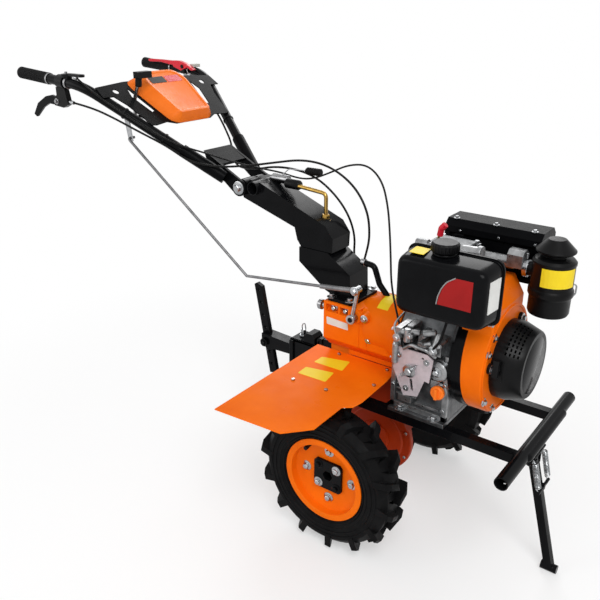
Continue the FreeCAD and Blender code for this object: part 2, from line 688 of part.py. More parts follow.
def console():
    """Flat bracket with two feet on each tube, and the cover on it."""
    base = TUBE_R + FIT
    top = base + BRACKET_T
    wing = [(340, 0), (340, 120), (328, 226), (284, 230), (284, 194), (245, 176), (192, 164), (155, 158), (152, 140),
            (158, 98), (146, 70), (146, 0)]
    whole = []
    for hand in (-1, 1):
        plate = plate_z([(-up, hand * y) for up, y in wing], base, top)
        slot = plate_z([(-up, hand * y) for up, y in ((312, 126), (210, 104), (204, 116), (275, 136))], base - 1, top + 1)
        hole = rod_z(-303, hand * 172, base - 1, top + 1, 9)
        whole.append(plate.cut(slot).cut(hole))
    add("console_bracket", on_tubes(fuse(whole)))
    low = [(-341, -114), (-341, 114), (-283, 110), (-160, 84), (-144, 62), (-144, -62), (-160, -84), (-283, -110)]
    high = [(-338, -58), (-338, 58), (-300, 78), (-164, 62), (-156, 56), (-156, -56), (-164, -62), (-300, -78)]
    wires = [Part.makePolygon([Vector(x, y, z) for x, y in outline + [outline[0]]])
             for outline, z in ((low, top), (high, top + COVER_T))]
    add("console_cover", on_tubes(Part.makeLoft(wires, True, True)))


def handlebar():
    add("handlebar_yoke", yoke())
    for hand, side in ((-1, "right"), (1, "left")):
        start, bend, end = tube_points(hand)
        ahead = bend.sub(start).normalize()
        add("handle_tube_" + side, bent_rod([start + ahead * FIT, bend, end], [TUBE_BEND], TUBE_R))
        back = bend.sub(end).normalize()
        grip = rod(end - back * 4, end + back * GRIP_LENGTH, GRIP_R)
        add("grip_" + side, grip.cut(rod(end, end + back * (GRIP_LENGTH + 1), TUBE_R)))
    console()


def build():
    wheels()
    gearbox()
    frame()
    stand()
    engine()
    fenders()
    column()
    handlebar()


def export():
    os.makedirs("parts", exist_ok=True)
    for name, shape in PARTS.items():
        placed = shape.copy()
        placed.translate(Vector(AXLE_X, 0, 0))
        placed.exportStep("parts/" + name + ".step")


if __name__ == "__main__":
    build()
    export()
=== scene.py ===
import bpy, bmesh, json
from math import atan2, cos, pi, radians, sin, sqrt, tan
from mathutils import Matrix, Vector


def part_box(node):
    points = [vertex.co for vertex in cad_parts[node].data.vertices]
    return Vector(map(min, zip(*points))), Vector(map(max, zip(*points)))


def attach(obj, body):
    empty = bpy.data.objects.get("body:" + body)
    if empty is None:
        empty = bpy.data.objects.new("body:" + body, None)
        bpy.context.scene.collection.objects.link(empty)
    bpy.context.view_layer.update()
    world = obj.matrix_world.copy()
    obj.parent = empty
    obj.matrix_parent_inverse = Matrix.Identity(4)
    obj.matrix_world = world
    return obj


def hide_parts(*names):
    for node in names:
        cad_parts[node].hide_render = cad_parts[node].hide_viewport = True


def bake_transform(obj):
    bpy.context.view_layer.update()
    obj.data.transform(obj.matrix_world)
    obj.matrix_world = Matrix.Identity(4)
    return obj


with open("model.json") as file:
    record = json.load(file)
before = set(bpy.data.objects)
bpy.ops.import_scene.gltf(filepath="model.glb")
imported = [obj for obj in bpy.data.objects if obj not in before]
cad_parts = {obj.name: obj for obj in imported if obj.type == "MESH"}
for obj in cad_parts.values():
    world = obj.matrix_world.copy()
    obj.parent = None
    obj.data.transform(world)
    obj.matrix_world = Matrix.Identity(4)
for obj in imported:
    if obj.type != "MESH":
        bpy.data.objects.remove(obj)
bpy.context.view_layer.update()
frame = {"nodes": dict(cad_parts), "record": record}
NODES = frame["nodes"]
RECORD = frame["record"]
FINISH = {row["node"]: row["material_slot"] for row in RECORD["subparts"]}
BODY = {node: body for body, nodes in RECORD["behaviour"]["bodies"].items() for node in nodes}

# Shapes are drawn in millimetres, x ahead of the wheel axle, y to the left, z up from the ground.
MM = 0.001
AXLE_X = sum(corner.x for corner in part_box("axle")) / 2
AHEAD, BACK, RIGHT, UP = (1, 0, 0), (-1, 0, 0), (0, -1, 0), (0, 0, 1)
SIDES = (("right", -1), ("left", 1))


def at(x, y, z):
    """Place in the frame, in metres."""
    return Vector((x * MM + AXLE_X, y * MM, z * MM))


def link(name, data):
    """New object in the scene."""
    made = bpy.data.objects.new(name, data)
    bpy.context.scene.collection.objects.link(made)
    return made


# --- stage, light and camera

CAMERA_PLACE = Vector((1.15745, -1.52151, 1.32004))
CAMERA_YAW = radians(126.856)
CAMERA_PITCH = radians(-22.796)
CAMERA_LENS = 42.77
SENSOR_WIDTH = 36.0
VIEW_REACH = 50

# name, place, size and power
LIGHTS = (("key", (2.2, -2.2, 3.4), (2.0, 2.0), 95),
          ("fill", (-2.2, -2.8, 2.0), (2.4, 1.8), 25),
          ("back", (-1.2, 2.8, 2.8), (2.4, 1.6), 55))
LIGHT_AIM = Vector((0, 0, 0.5))
SKY_STRENGTH = 0.5

FLOOR_HALF = 12.0
FLOOR_WHITE = 0.93
SHADOW_REACH = (0.7, 1.7)  # the floor shows shadows out to here, and runs into the white background beyond
NEAR_WHITE = 0.45  # share of plain white where it shows them


def make_camera():
    data = bpy.data.cameras.new("camera")
    data.lens = CAMERA_LENS
    data.sensor_width = SENSOR_WIDTH
    data.clip_end = VIEW_REACH
    camera = link("camera", data)
    camera.location = CAMERA_PLACE
    flat = cos(CAMERA_PITCH)
    ahead = Vector((cos(CAMERA_YAW) * flat, sin(CAMERA_YAW) * flat, sin(CAMERA_PITCH)))
    camera.rotation_euler = ahead.to_track_quat("-Z", "Y").to_euler()
    bpy.context.scene.camera = camera


def make_lights():
    for name, place, size, power in LIGHTS:
        data = bpy.data.lights.new(name, "AREA")
        data.shape = "RECTANGLE"
        data.size, data.size_y = size
        data.energy = power
        light = link(name, data)
        light.location = place
        light.rotation_euler = (LIGHT_AIM - Vector(place)).to_track_quat("-Z", "Y").to_euler()


def feed(tree, node, inputs):
    """Give each input its value, or link it to the output that it takes."""
    for name, value in inputs.items():
        if isinstance(value, bpy.types.NodeSocket):
            tree.links.new(value, node.inputs[name])
        else:
            node.inputs[name].default_value = value
    return node


def add(tree, kind, inputs, **settings):
    """New shader node."""
    node = tree.nodes.new("ShaderNode" + kind)
    for name, value in settings.items():
        setattr(node, name, value)
    return feed(tree, node, inputs)


def seen_white(tree, lit, seen):
    """Mix of a lit shader and plain white, by the share of white that is seen."""
    white = add(tree, "Emission", {"Strength": 1.0}).outputs[0]
    return add(tree, "MixShader", {0: seen, 1: lit, 2: white}).outputs[0]


def seen_directly(tree):
    """One for camera, glossy and transmission rays, and nought for the rays that light the object."""
    rays = add(tree, "LightPath", {}).outputs
    result = rays["Is Camera Ray"]
    for ray in ("Is Glossy Ray", "Is Transmission Ray"):
        result = add(tree, "Math", {0: result, 1: rays[ray]}, operation="MAXIMUM").outputs[0]
    return result


def make_world():
    world = bpy.data.worlds.new("studio")
    world.use_nodes = True
    tree = world.node_tree
    lit = feed(tree, tree.nodes["Background"], {"Color": (1, 1, 1, 1), "Strength": SKY_STRENGTH})
    feed(tree, tree.nodes["World Output"], {"Surface": seen_white(tree, lit.outputs[0], seen_directly(tree))})
    bpy.context.scene.world = world


def make_floor():
    mesh = bpy.data.meshes.new("floor")
    corners = [(-1, -1), (1, -1), (1, 1), (-1, 1)]
    mesh.from_pydata([(x * FLOOR_HALF, y * FLOOR_HALF, 0) for x, y in corners], [], [(0, 1, 2, 3)])
    floor = link("floor", mesh)
    tree, shader = material("floor_white")
    feed(tree, shader, {"Base Color": (FLOOR_WHITE, FLOOR_WHITE, FLOOR_WHITE, 1), "Roughness": 0.9,
                        "Specular IOR Level": 0.1})
    place = add(tree, "TexCoord", {}).outputs["Object"]
    far = add(tree, "VectorMath", {0: place}, operation="LENGTH").outputs["Value"]
    near, beyond = SHADOW_REACH
    away = add(tree, "MapRange", {"From Min": near, "From Max": beyond, "To Min": NEAR_WHITE, "Value": far},
               interpolation_type="SMOOTHSTEP").outputs["Result"]
    share = add(tree, "Math", {0: away, 1: seen_directly(tree)}, operation="MULTIPLY").outputs[0]
    feed(tree, tree.nodes["Material Output"], {"Surface": seen_white(tree, shader.outputs[0], share)})
    floor.data.materials.append(MATERIALS["floor_white"])


# --- materials

MATERIALS = {}
COLOUR_BAND = (0.35, 0.68)  # parts of a noise over which the colour and the gloss run
GLOSS_BAND = (0.3, 0.7)
GRAIN_DEPTH = 0.0006

LABEL = ((0.4, 0.5), 0, 0.2, 12, (600, 0.03))
# colour and the one it varies to, roughness from and to, metal, specular, scale of the patches, grain's scale
# and strength
FINISHES = {
    "orange_paint": ((0.91, 0.17, 0.004), (0.82, 0.135, 0.003), (0.26, 0.4), 0, 0.04, 7, (300, 0.02)),
    "dark_orange": ((0.4, 0.036, 0.004), (0.3, 0.026, 0.004), (0.3, 0.45), 0, 0.14, 7, (300, 0.03)),
    "black_paint": ((0.0022, 0.0023, 0.0028), (0.0045, 0.0047, 0.0054), (0.13, 0.24), 0, 0.07, 14,
                    (200, 0.008)),
    "black_sheet": ((0.0022, 0.0023, 0.0028), (0.004, 0.0042, 0.0048), (0.24, 0.36), 0, 0.03, 14,
                    (200, 0.008)),
    "tyre_rubber": ((0.0035, 0.0035, 0.0038), (0.0075, 0.0075, 0.0078), (0.4, 0.6), 0, 0.05, 20, (700, 0.14)),
    "cast_aluminium": ((0.36, 0.365, 0.37), (0.15, 0.153, 0.158), (0.24, 0.46), 0.85, 0.5, 38, (700, 0.22)),
    # darker copy of cast aluminium: painted shade for the crankcase block, its hollows and the rocker housing
    "cast_painted_shade": ((0.135, 0.14, 0.145), (0.05, 0.052, 0.055), (0.3, 0.5), 0.85, 0.5, 30, (700, 0.22)),
    "zinc_steel": ((0.46, 0.47, 0.48), (0.28, 0.29, 0.3), (0.2, 0.34), 1, 0.5, 60, (600, 0.05)),
    "chrome": ((0.34, 0.34, 0.345), (0.22, 0.22, 0.225), (0.16, 0.28), 1, 0.5, 40, (600, 0.05)),
    "rod_steel": ((0.2, 0.2, 0.205), (0.12, 0.12, 0.125), (0.34, 0.46), 0.7, 0.5, 40, (600, 0.03)),
    "grey_zinc": ((0.58, 0.5, 0.53), (0.44, 0.39, 0.41), (0.36, 0.5), 0.35, 0.5, 50, (600, 0.05)),
    "yellow_zinc": ((0.46, 0.29, 0.075), (0.3, 0.18, 0.045), (0.16, 0.3), 1, 0.5, 60, (600, 0.05)),
    "black_plastic": ((0.0028, 0.0028, 0.003), (0.0055, 0.0055, 0.006), (0.28, 0.42), 0, 0.12, 12,
                      (700, 0.05)),
    "black_rubber": ((0.0035, 0.0035, 0.0038), (0.007, 0.007, 0.0074), (0.42, 0.6), 0, 0.1, 12, (700, 0.1)),
    "orange_plastic": ((0.92, 0.19, 0.014), (0.84, 0.155, 0.01), (0.3, 0.44), 0, 0.16, 12, (500, 0.03)),
    "red_plastic": ((0.66, 0.012, 0.03), (0.54, 0.008, 0.022), (0.22, 0.36), 0, 0.3, 12, (400, 0.03)),
    "cable_black": ((0.004, 0.004, 0.004), (0.007, 0.007, 0.007), (0.34, 0.46), 0, 0.12, 12, (600, 0.04)),
    "yellow_label": ((0.88, 0.66, 0.02), (0.82, 0.6, 0.015), *LABEL),
    "white_label": ((0.74, 0.74, 0.72), (0.64, 0.64, 0.62), *LABEL),
    "red_label": ((0.34, 0.01, 0.01), (0.28, 0.008, 0.008), (0.35, 0.45), 0, 0.14, 12, (600, 0.03)),
    "grey_label": ((0.3, 0.3, 0.3), (0.24, 0.24, 0.24), *LABEL),
    "pale_plastic": ((0.5, 0.49, 0.45), (0.42, 0.41, 0.38), (0.4, 0.5), 0, 0.2, 12, (600, 0.05)),
}


def material(name):
    made = bpy.data.materials.new(name)
    made.use_nodes = True
    MATERIALS[name] = made
    tree = made.node_tree
    return tree, tree.nodes["Principled BSDF"]


def noise(tree, scale, detail, roughness):
    """Noise over the object's own coordinates."""
    place = add(tree, "TexCoord", {}).outputs["Object"]
    return add(tree, "TexNoise", {"Scale": scale, "Detail": detail, "Roughness": roughness,
                                  "Vector": place}).outputs["Fac"]


def blend_colours(tree, source, low, high):
    """Colour that runs from one to the other over the middle of a noise."""
    ramp = add(tree, "ValToRGB", {"Fac": source})
    for element, place, colour in zip(ramp.color_ramp.elements, COLOUR_BAND, (low, high)):
        element.position = place
        element.color = (*colour, 1)
    return ramp.outputs["Color"]


def spread(tree, source, low, high):
    """The middle of a noise mapped to a range."""
    least, most = GLOSS_BAND
    return add(tree, "MapRange", {"From Min": least, "From Max": most, "To Min": low, "To Max": high,
                                  "Value": source}).outputs["Result"]


def make_materials():
    """Finishes that vary in colour over patches, in gloss over smaller ones, and have a fine grain."""
    for name, (colour, other, roughness, metal, specular, patch, (grain, strength)) in FINISHES.items():
        tree, shader = material(name)
        normal = add(tree, "Bump", {"Strength": strength, "Distance": GRAIN_DEPTH,
                                    "Height": noise(tree, grain, 2, 0.5)}).outputs["Normal"]
        feed(tree, shader, {"Base Color": blend_colours(tree, noise(tree, patch, 5, 0.6), colour, other),
                            "Roughness": spread(tree, noise(tree, patch * 3, 4, 0.6), *roughness),
                            "Metallic": metal, "Specular IOR Level": specular, "Normal": normal})


# --- shapes

SHARP = 34  # degrees past which an edge is rounded and shaded as one
FLAT = 0.6  # degrees under which a CAD node's facets are one face
WASHER, WASHER_EDGE = 1.7, 1.2  # how thick a washer is, and at its edge
HEAD_HEIGHT = 0.55  # of a bolt's head, for its size across flats
HEAD_CHAMFER = 0.82  # shares of its height and radius where its top is chamfered
COIL_SIDES = 12
COIL_LEAD = 0.14  # share of a spring at each end that runs straight


def side_of(axis):
    """Two directions square to an axis and to each other."""
    first = axis.orthogonal().normalized()
    return first, axis.cross(first).normalized()


def circle(middle, first, second, radius, turns):
    return [middle + (first * cos(t) + second * sin(t)) * radius for t in turns]


class Shape:
    """A mesh while it is drawn, out of closed solids."""

    def __init__(self):
        self.mesh = bmesh.new()

    def rings(self, rings, closed=False):
        """Skin over rings of points, closed along its length or capped at its ends."""
        rows = [[self.mesh.verts.new(point) for point in ring] for ring in rings]
        for here, there in list(zip(rows, rows[1:])) + ([(rows[-1], rows[0])] if closed else []):
            for i in range(max(len(here), len(there))):
                corners = ((here, i), (here, i + 1), (there, i + 1), (there, i))
                quad = list(dict.fromkeys(row[k % len(row)] for row, k in corners))
                if len(quad) > 2:
                    self.mesh.faces.new(quad)
        if not closed:
            for row in (rows[0], rows[-1]):
                if len(row) > 2:
                    self.mesh.faces.new(row)
        return self

    def plate(self, axis, outline, low, high):
        """Plate with an outline of its two other coordinates, from low to high along an axis."""
        places = {"x": lambda a, b, c: (c, a, b), "y": lambda a, b, c: (a, c, b),
                  "z": lambda a, b, c: (a, b, c)}
        return self.rings([[places[axis](a, b, c) for a, b in outline] for c in (low, high)])

    def box(self, x0, x1, y0, y1, z0, z1):
        return self.plate("z", [(x0, y0), (x1, y0), (x1, y1), (x0, y1)], z0, z1)

    def turned(self, profile, centre, axis, sides, closed=False):
        """Profile of (radius, along) points turned about an axis, with flat ends unless it is closed."""
        if not closed:
            (first, start), (last, end) = profile[0], profile[-1]
            profile = [(0, start)] * (first > 0) + profile + [(0, end)] * (last > 0)
        centre, axis = Vector(centre), Vector(axis).normalized()
        turns = [2 * pi * (i + 0.5) / sides for i in range(sides)]
        rings = []
        for radius, along in profile:
            middle = centre + axis * along
            rings.append(circle(middle, *side_of(axis), radius, turns) if radius > 1e-6 else [middle])
        return self.rings(rings, closed)

    def rod(self, start, end, radius, sides=24, edge=0.8):
        """Round bar with chamfered ends."""
        start, end = Vector(start), Vector(end)
        length = (end - start).length
        edge = min(edge, radius / 3, length / 3)
        profile = [(radius - edge, 0), (radius, edge), (radius, length - edge), (radius - edge, length)]
        return self.turned(profile, start, end - start, sides)

    def tube(self, start, end, radius, inner):
        """Open tube."""
        start, end = Vector(start), Vector(end)
        length = (end - start).length
        profile = [(inner, 0), (radius, 0), (radius, length), (inner, length)]
        return self.turned(profile, start, end - start, 32, True)

    def swept(self, path, radius, sides=12):
        """Round bar along a path."""
        path = [Vector(point) for point in path]
        turns = [2 * pi * k / sides for k in range(sides)]
        side = before = None
        rings = []
        for i, point in enumerate(path):
            ahead = (path[min(i + 1, len(path) - 1)] - path[max(i - 1, 0)]).normalized()
            side = side_of(ahead)[0] if side is None else before.rotation_difference(ahead) @ side
            before = ahead
            rings.append(circle(point, side, ahead.cross(side).normalized(), radius, turns))
        return self.rings(rings)

    def bolt(self, place, direction, size, washer=True):
        """Hexagon head of this size across flats on its washer, pointing along a direction."""
        place, axis = Vector(place), Vector(direction).normalized()
        thick = WASHER if washer else 0
        if washer:
            self.turned([(size, 0), (size, WASHER_EDGE), (size * 0.93, thick)], place, axis, 24)
        corner, height = size / sqrt(3), size * HEAD_HEIGHT
        profile = [(corner, thick - 0.2), (corner, thick + height * HEAD_CHAMFER),
                   (corner * HEAD_CHAMFER, thick + height)]
        return self.turned(profile, place, axis, 6)

    def coil(self, start, end, radius, wire, turns):
        """Tension spring, its ends drawn in to the two points."""
        start, end = Vector(start), Vector(end)
        sides = side_of((end - start).normalized())
        steps = turns * COIL_SIDES
        path = [start]
        for i in range(steps + 1):
            middle = start.lerp(end, COIL_LEAD + (1 - 2 * COIL_LEAD) * i / steps)
            path += circle(middle, *sides, radius, [2 * pi * i / COIL_SIDES])
        return self.swept(path + [end], wire, 8)

    def patch(self, corners, thickness, radius):
        """Thin plate with rounded corners on four points, its face on the side they turn left about."""
        corners = [Vector(corner) for corner in corners]
        out = (corners[1] - corners[0]).cross(corners[2] - corners[1]).normalized()
        outline = rounded(corners, radius, closed=True, steps=4)
        return self.rings([[point + out * lift for point in outline] for lift in (-thickness, thickness)])

    def cut(self, tool):
        """Take another shape away."""
        body, knife = plain_object(self, "cut_body"), plain_object(tool, "cut_tool")
        modifier = body.modifiers.new("cut", "BOOLEAN")
        modifier.operation = "DIFFERENCE"
        modifier.solver = "EXACT"
        modifier.object = knife
        result = bpy.data.meshes.new_from_object(body.evaluated_get(bpy.context.evaluated_depsgraph_get()))
        self.mesh.clear()
        self.mesh.from_mesh(result)
        for scrap in (body.data, knife.data, result):
            bpy.data.meshes.remove(scrap)
        return self

    def moved(self, matrix):
        bmesh.ops.transform(self.mesh, matrix=matrix, verts=self.mesh.verts)
        return self


def plain_object(shape, name, colour=None):
    bmesh.ops.recalc_face_normals(shape.mesh, faces=shape.mesh.faces)
    mesh = bpy.data.meshes.new(name)
    shape.mesh.to_mesh(mesh)
    if colour:
        mesh.materials.append(MATERIALS[colour])
    return link(name, mesh)


def rounded(points, radius, closed=False, steps=6):
    """Points with every corner rounded to about this radius, or less where the runs are short."""
    points = [Vector(point) for point in points]
    count = len(points)
    result = [] if closed else [points[0]]
    for i in range(0 if closed else 1, count if closed else count - 1):
        before, corner, after = points[i - 1], points[i], points[(i + 1) % count]
        back, ahead = before - corner, after - corner
        turn = pi - back.angle(ahead)
        reach = min(radius * tan(turn / 2), 0.48 * back.length, 0.48 * ahead.length)
        start, end = corner + back.normalized() * reach, corner + ahead.normalized() * reach
        for step in range(steps + 1):
            t = step / steps
            result.append(start.lerp(corner, t).lerp(corner.lerp(end, t), t))
    return result if closed else result + [points[-1]]


def round_outline(points, radius, steps=6):
    """Closed outline of (a, b) points with its corners rounded."""
    return [point.xy for point in rounded([(a, b, 0) for a, b in points], radius, True, steps)]


def mirrored(half):
    """Closed outline of (y, z) points from its left half."""
    return half + [(-y, z) for y, z in reversed(half)]


def shade(made, soft, angle):
    """Round the sharp edges by this much, and shade what is left of them as edges."""
    made.data.shade_smooth()
    made.data.set_sharp_from_angle(angle=radians(angle))
    if soft:
        bevel = made.modifiers.new("edges", "BEVEL")
        bevel.width = soft * MM
        bevel.segments = 2
        bevel.limit_method = "ANGLE"
        bevel.angle_limit = radians(angle)
        bevel.use_clamp_overlap = True
        bevel.harden_normals = True


def piece(name, shape, colour, soft=0, replaces=None, body="root", blend=None, angle=SHARP):
    """The shape as a piece with its finish. It rides on the body of the node it replaces or on the one named,
    or, given a blend, keeps its place with its placing baked into its mesh; the blend's bodies and places are
    not used."""
    for vertex in shape.mesh.verts:
        vertex.co = at(*vertex.co)
    made = plain_object(shape, name, colour)
    shade(made, soft, angle)
    if blend:
        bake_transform(made)
    else:
        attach(made, BODY.get(replaces, body))
    if replaces:
        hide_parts(replaces)


def bolts(name, rows, colour="zinc_steel", body="root"):
    """Bolts as one piece, from rows of place, direction, size and whether there is a washer."""
    shape = Shape()
    for row in rows:
        shape.bolt(*row)
    piece(name, shape, colour, body=body)


def curved_label(name, colour, turns, radii, ends, place):
    """Label bent round an axis, where place takes a turn, a radius and a place along the axis."""
    label = Shape()
    for low, high in zip(turns, turns[1:]):
        corners = ((low, ends[0]), (high, ends[0]), (high, ends[1]), (low, ends[1]))
        label.rings([[place(turn, radius, end) for turn, end in corners] for radius in radii])
    piece(name, label, colour)


def soften(node, soft, colour=None, angle=SHARP):
    """A CAD node with its edges rounded."""
    shape = Shape()
    shape.mesh.from_mesh(NODES[node].data)
    bmesh.ops.remove_doubles(shape.mesh, verts=shape.mesh.verts, dist=1e-5)
    bmesh.ops.dissolve_limit(shape.mesh, angle_limit=radians(FLAT), verts=shape.mesh.verts,
                             edges=shape.mesh.edges)
    made = plain_object(shape, node + "_finished", colour or FINISH[node])
    shade(made, soft, angle)
    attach(made, BODY[node])
    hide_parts(node)


# --- control cables

# control points of each half of a cable
ROUTES = {
    "right_upper": [
        (-919, -241, 1052), (-846, -242, 1046), (-776, -230, 1026), (-712, -182, 981), (-650, -150, 948),
        (-588, -128, 909), (-515, -92, 895), (-446, -42, 899), (-374, -10, 912), (-338, -2, 919)],
    "right_lower": [
        (-338, -2, 919), (-302, 6, 926), (-226, 1, 927), (-158, -7, 909), (-104, -12, 874),
        (-70, -14, 822), (-66, -8, 762), (-75, -3, 719), (-88, 0, 677)],
    "left_upper": [
        (-904, 214, 1093), (-846, 206, 1066), (-784, 170, 1028), (-722, 148, 985), (-662, 112, 952),
        (-630, 98, 920), (-604, 74, 884), (-556, 42, 866), (-480, 34, 872), (-408, 32, 890),
        (-365, 29.5, 891.5)],
    "left_lower": [
        (-365, 29.5, 891.5), (-322, 27, 893), (-256, 32, 875), (-202, 40, 833), (-165, 46, 784),
        (-149, 53, 728), (-154, 57, 674), (-142, 58, 628), (-142, 58, 600)],
    "throttle_upper": [
        (-888, -243, 1121), (-834, -246, 1094), (-781, -218, 1052), (-723, -188, 1010), (-667, -163, 977),
        (-606, -134, 949), (-548, -96, 930), (-492, -52, 906), (-436, -6, 888), (-400, 46, 872),
        (-335, 48, 862), (-301.5, 35, 869)],
    "throttle_lower": [
        (-301.5, 35, 869), (-268, 22, 876), (-205, 8, 903), (-142, -1, 934), (-78, -10, 944),
        (-25, -27, 914), (4, -44, 858), (20, -57, 798), (34, -71, 738), (46, -84, 680), (70, -101, 632),
        (98, -120, 586), (116, -136, 562)],
}
# name: diameter in mm, then the length of each half in metres
CABLES = {"right": (6.0, 0.673, 0.455), "left": (6.0, 0.648, 0.427), "throttle": (5.0, 0.735, 0.7)}
# half: its two bodies, and two places about the joint between them, which the cables do not use
HALVES = {"upper": ("handlebar", "column", (-620, 0, 920), (-400, 0, 890)),
          "lower": ("column", "root", (-280, 0, 900), (-100, 0, 780))}


def smooth_line(name, points):
    """Points along a NURBS curve that has the route's points as its control points."""
    curve = bpy.data.curves.new(name + "_line", "CURVE")
    curve.dimensions = "3D"
    spline = curve.splines.new("NURBS")
    spline.points.add(len(points) - 1)
    for control, point in zip(spline.points, points):
        control.co = (*at(*point), 1)
    spline.order_u = 3
    spline.use_endpoint_u = True
    spline.resolution_u = 8
    holder = bpy.data.objects.new(name + "_line", curve)
    line = bpy.data.meshes.new_from_object(holder)
    path = [vertex.co.copy() for vertex in line.vertices]
    bpy.data.meshes.remove(line)
    bpy.data.objects.remove(holder)
    bpy.data.curves.remove(curve)
    return path


def make_cables():
    for side, (thick, *lengths) in CABLES.items():
        for length, (half, (first, second, start, end)) in zip(lengths, HALVES.items()):
            name = "cable_" + side + "_" + half
            diameter = thick * MM
            path = smooth_line(name, ROUTES[side + "_" + half])
            made = plain_object(Shape().swept(path, diameter / 2, 10), name, "cable_black")
            made.data.shade_smooth()
            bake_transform(made)


# --- wheels

TYRE_R = 203
TRACK_HALF = 262
HUB_FACE = 280
HUB_BOLT = 27  # hub plate's bolts from the axle, each way
RIM_BOLTS = 70  # radius of the circle that the rim's bolts are on
TYRE_RINGS = ((122, 42.4), (133, 45.6), (146, 45.9), (158, 45.6))  # radius, out from the tyre's middle
VALVE_R = 92
VALVE_TURN = radians(35)


def wheels():
    for side, hand in SIDES:
        soften("tyre_" + side, 2.2, angle=30)
        soften("rim_" + side, 1.6)
        soften("wheel_hub_" + side, 1.4)
        out = (0, hand, 0)
        for colour, name, corners in (("zinc_steel", "hub_bolts_", ((-1, -1), (1, 1))),
                                      ("black_paint", "hub_screws_", ((1, -1), (-1, 1)))):
            bolts(name + side, [((x * HUB_BOLT, hand * HUB_FACE, TYRE_R + z * HUB_BOLT), out, 13)
                                for x, z in corners], colour, "wheels")
        turns = [pi / 2 * quarter for quarter in range(4)]
        bolts("rim_bolts_" + side, [((RIM_BOLTS * sin(t), hand * (TRACK_HALF + 10),
                                      TYRE_R + RIM_BOLTS * cos(t)), out, 14) for t in turns], body="wheels")
        walls = Shape()
        for radius, middle in TYRE_RINGS:
            profile = [(radius - 2.4, -1.5), (radius - 1.2, 0.7), (radius + 1.2, 0.7), (radius + 2.4, -1.5)]
            walls.turned(profile, (0, hand * (TRACK_HALF + middle), TYRE_R), out, 72, True)
        piece("tyre_rings_" + side, walls, "tyre_rubber", body="wheels")
        x, z = -VALVE_R * sin(VALVE_TURN), TYRE_R + VALVE_R * cos(VALVE_TURN)
        valve = Shape()
        for start, end, radius, sides in ((8, 40, 4, 24), (30, 42, 5.5, 12)):
            valve.rod((x, hand * (TRACK_HALF + start), z), (x, hand * (TRACK_HALF + end), z), radius, sides)
        piece("valve_" + side, valve, "black_rubber", body="wheels")
    soften("axle", 0.8)


# --- gearbox

CRANK_Z = 527
CRANK = (0, 0, CRANK_Z)
BOX_HALF, BOX_TOP = 72, 579
BOX_REAR, BOX_FRONT = -163, -49
BOX_FOOT = [(42, 440), (BOX_HALF, 470)]  # left half of the box's section up to its side, (y, z)
BOX_CHAMFER = 18  # of the box's top where it runs into the bell
BELL_NECK = -25
BELL_LIP = 64.7
BELL = [(52, -75), (80, BELL_NECK), (80, 30), (97, BELL_LIP), (106, BELL_LIP), (106, 79.7)]
BELL_BOLTS = 101  # radii of the circles of bolts
CASE_BOLTS = 99
CASE_RIGHT, CASE_LEFT = -40, 13
CASE = [(-82, 430), (-86, 330), (-100, 250), (-98, 230), (98, 250), (66, 300), (42, 336), (49, 380),
        (55, 430)]
SHAFT, ARM_HEAD = (-62, 556), (-46, 643)  # shift arm's ends, (x, z)
ARM_Y = -BOX_HALF - 26
ROD_FRONT, ROD_MIDDLE = Vector((-46, -101, 643)), Vector((-398, -114, 607))
PLATE_TOP = 588  # seat plate on top of the box


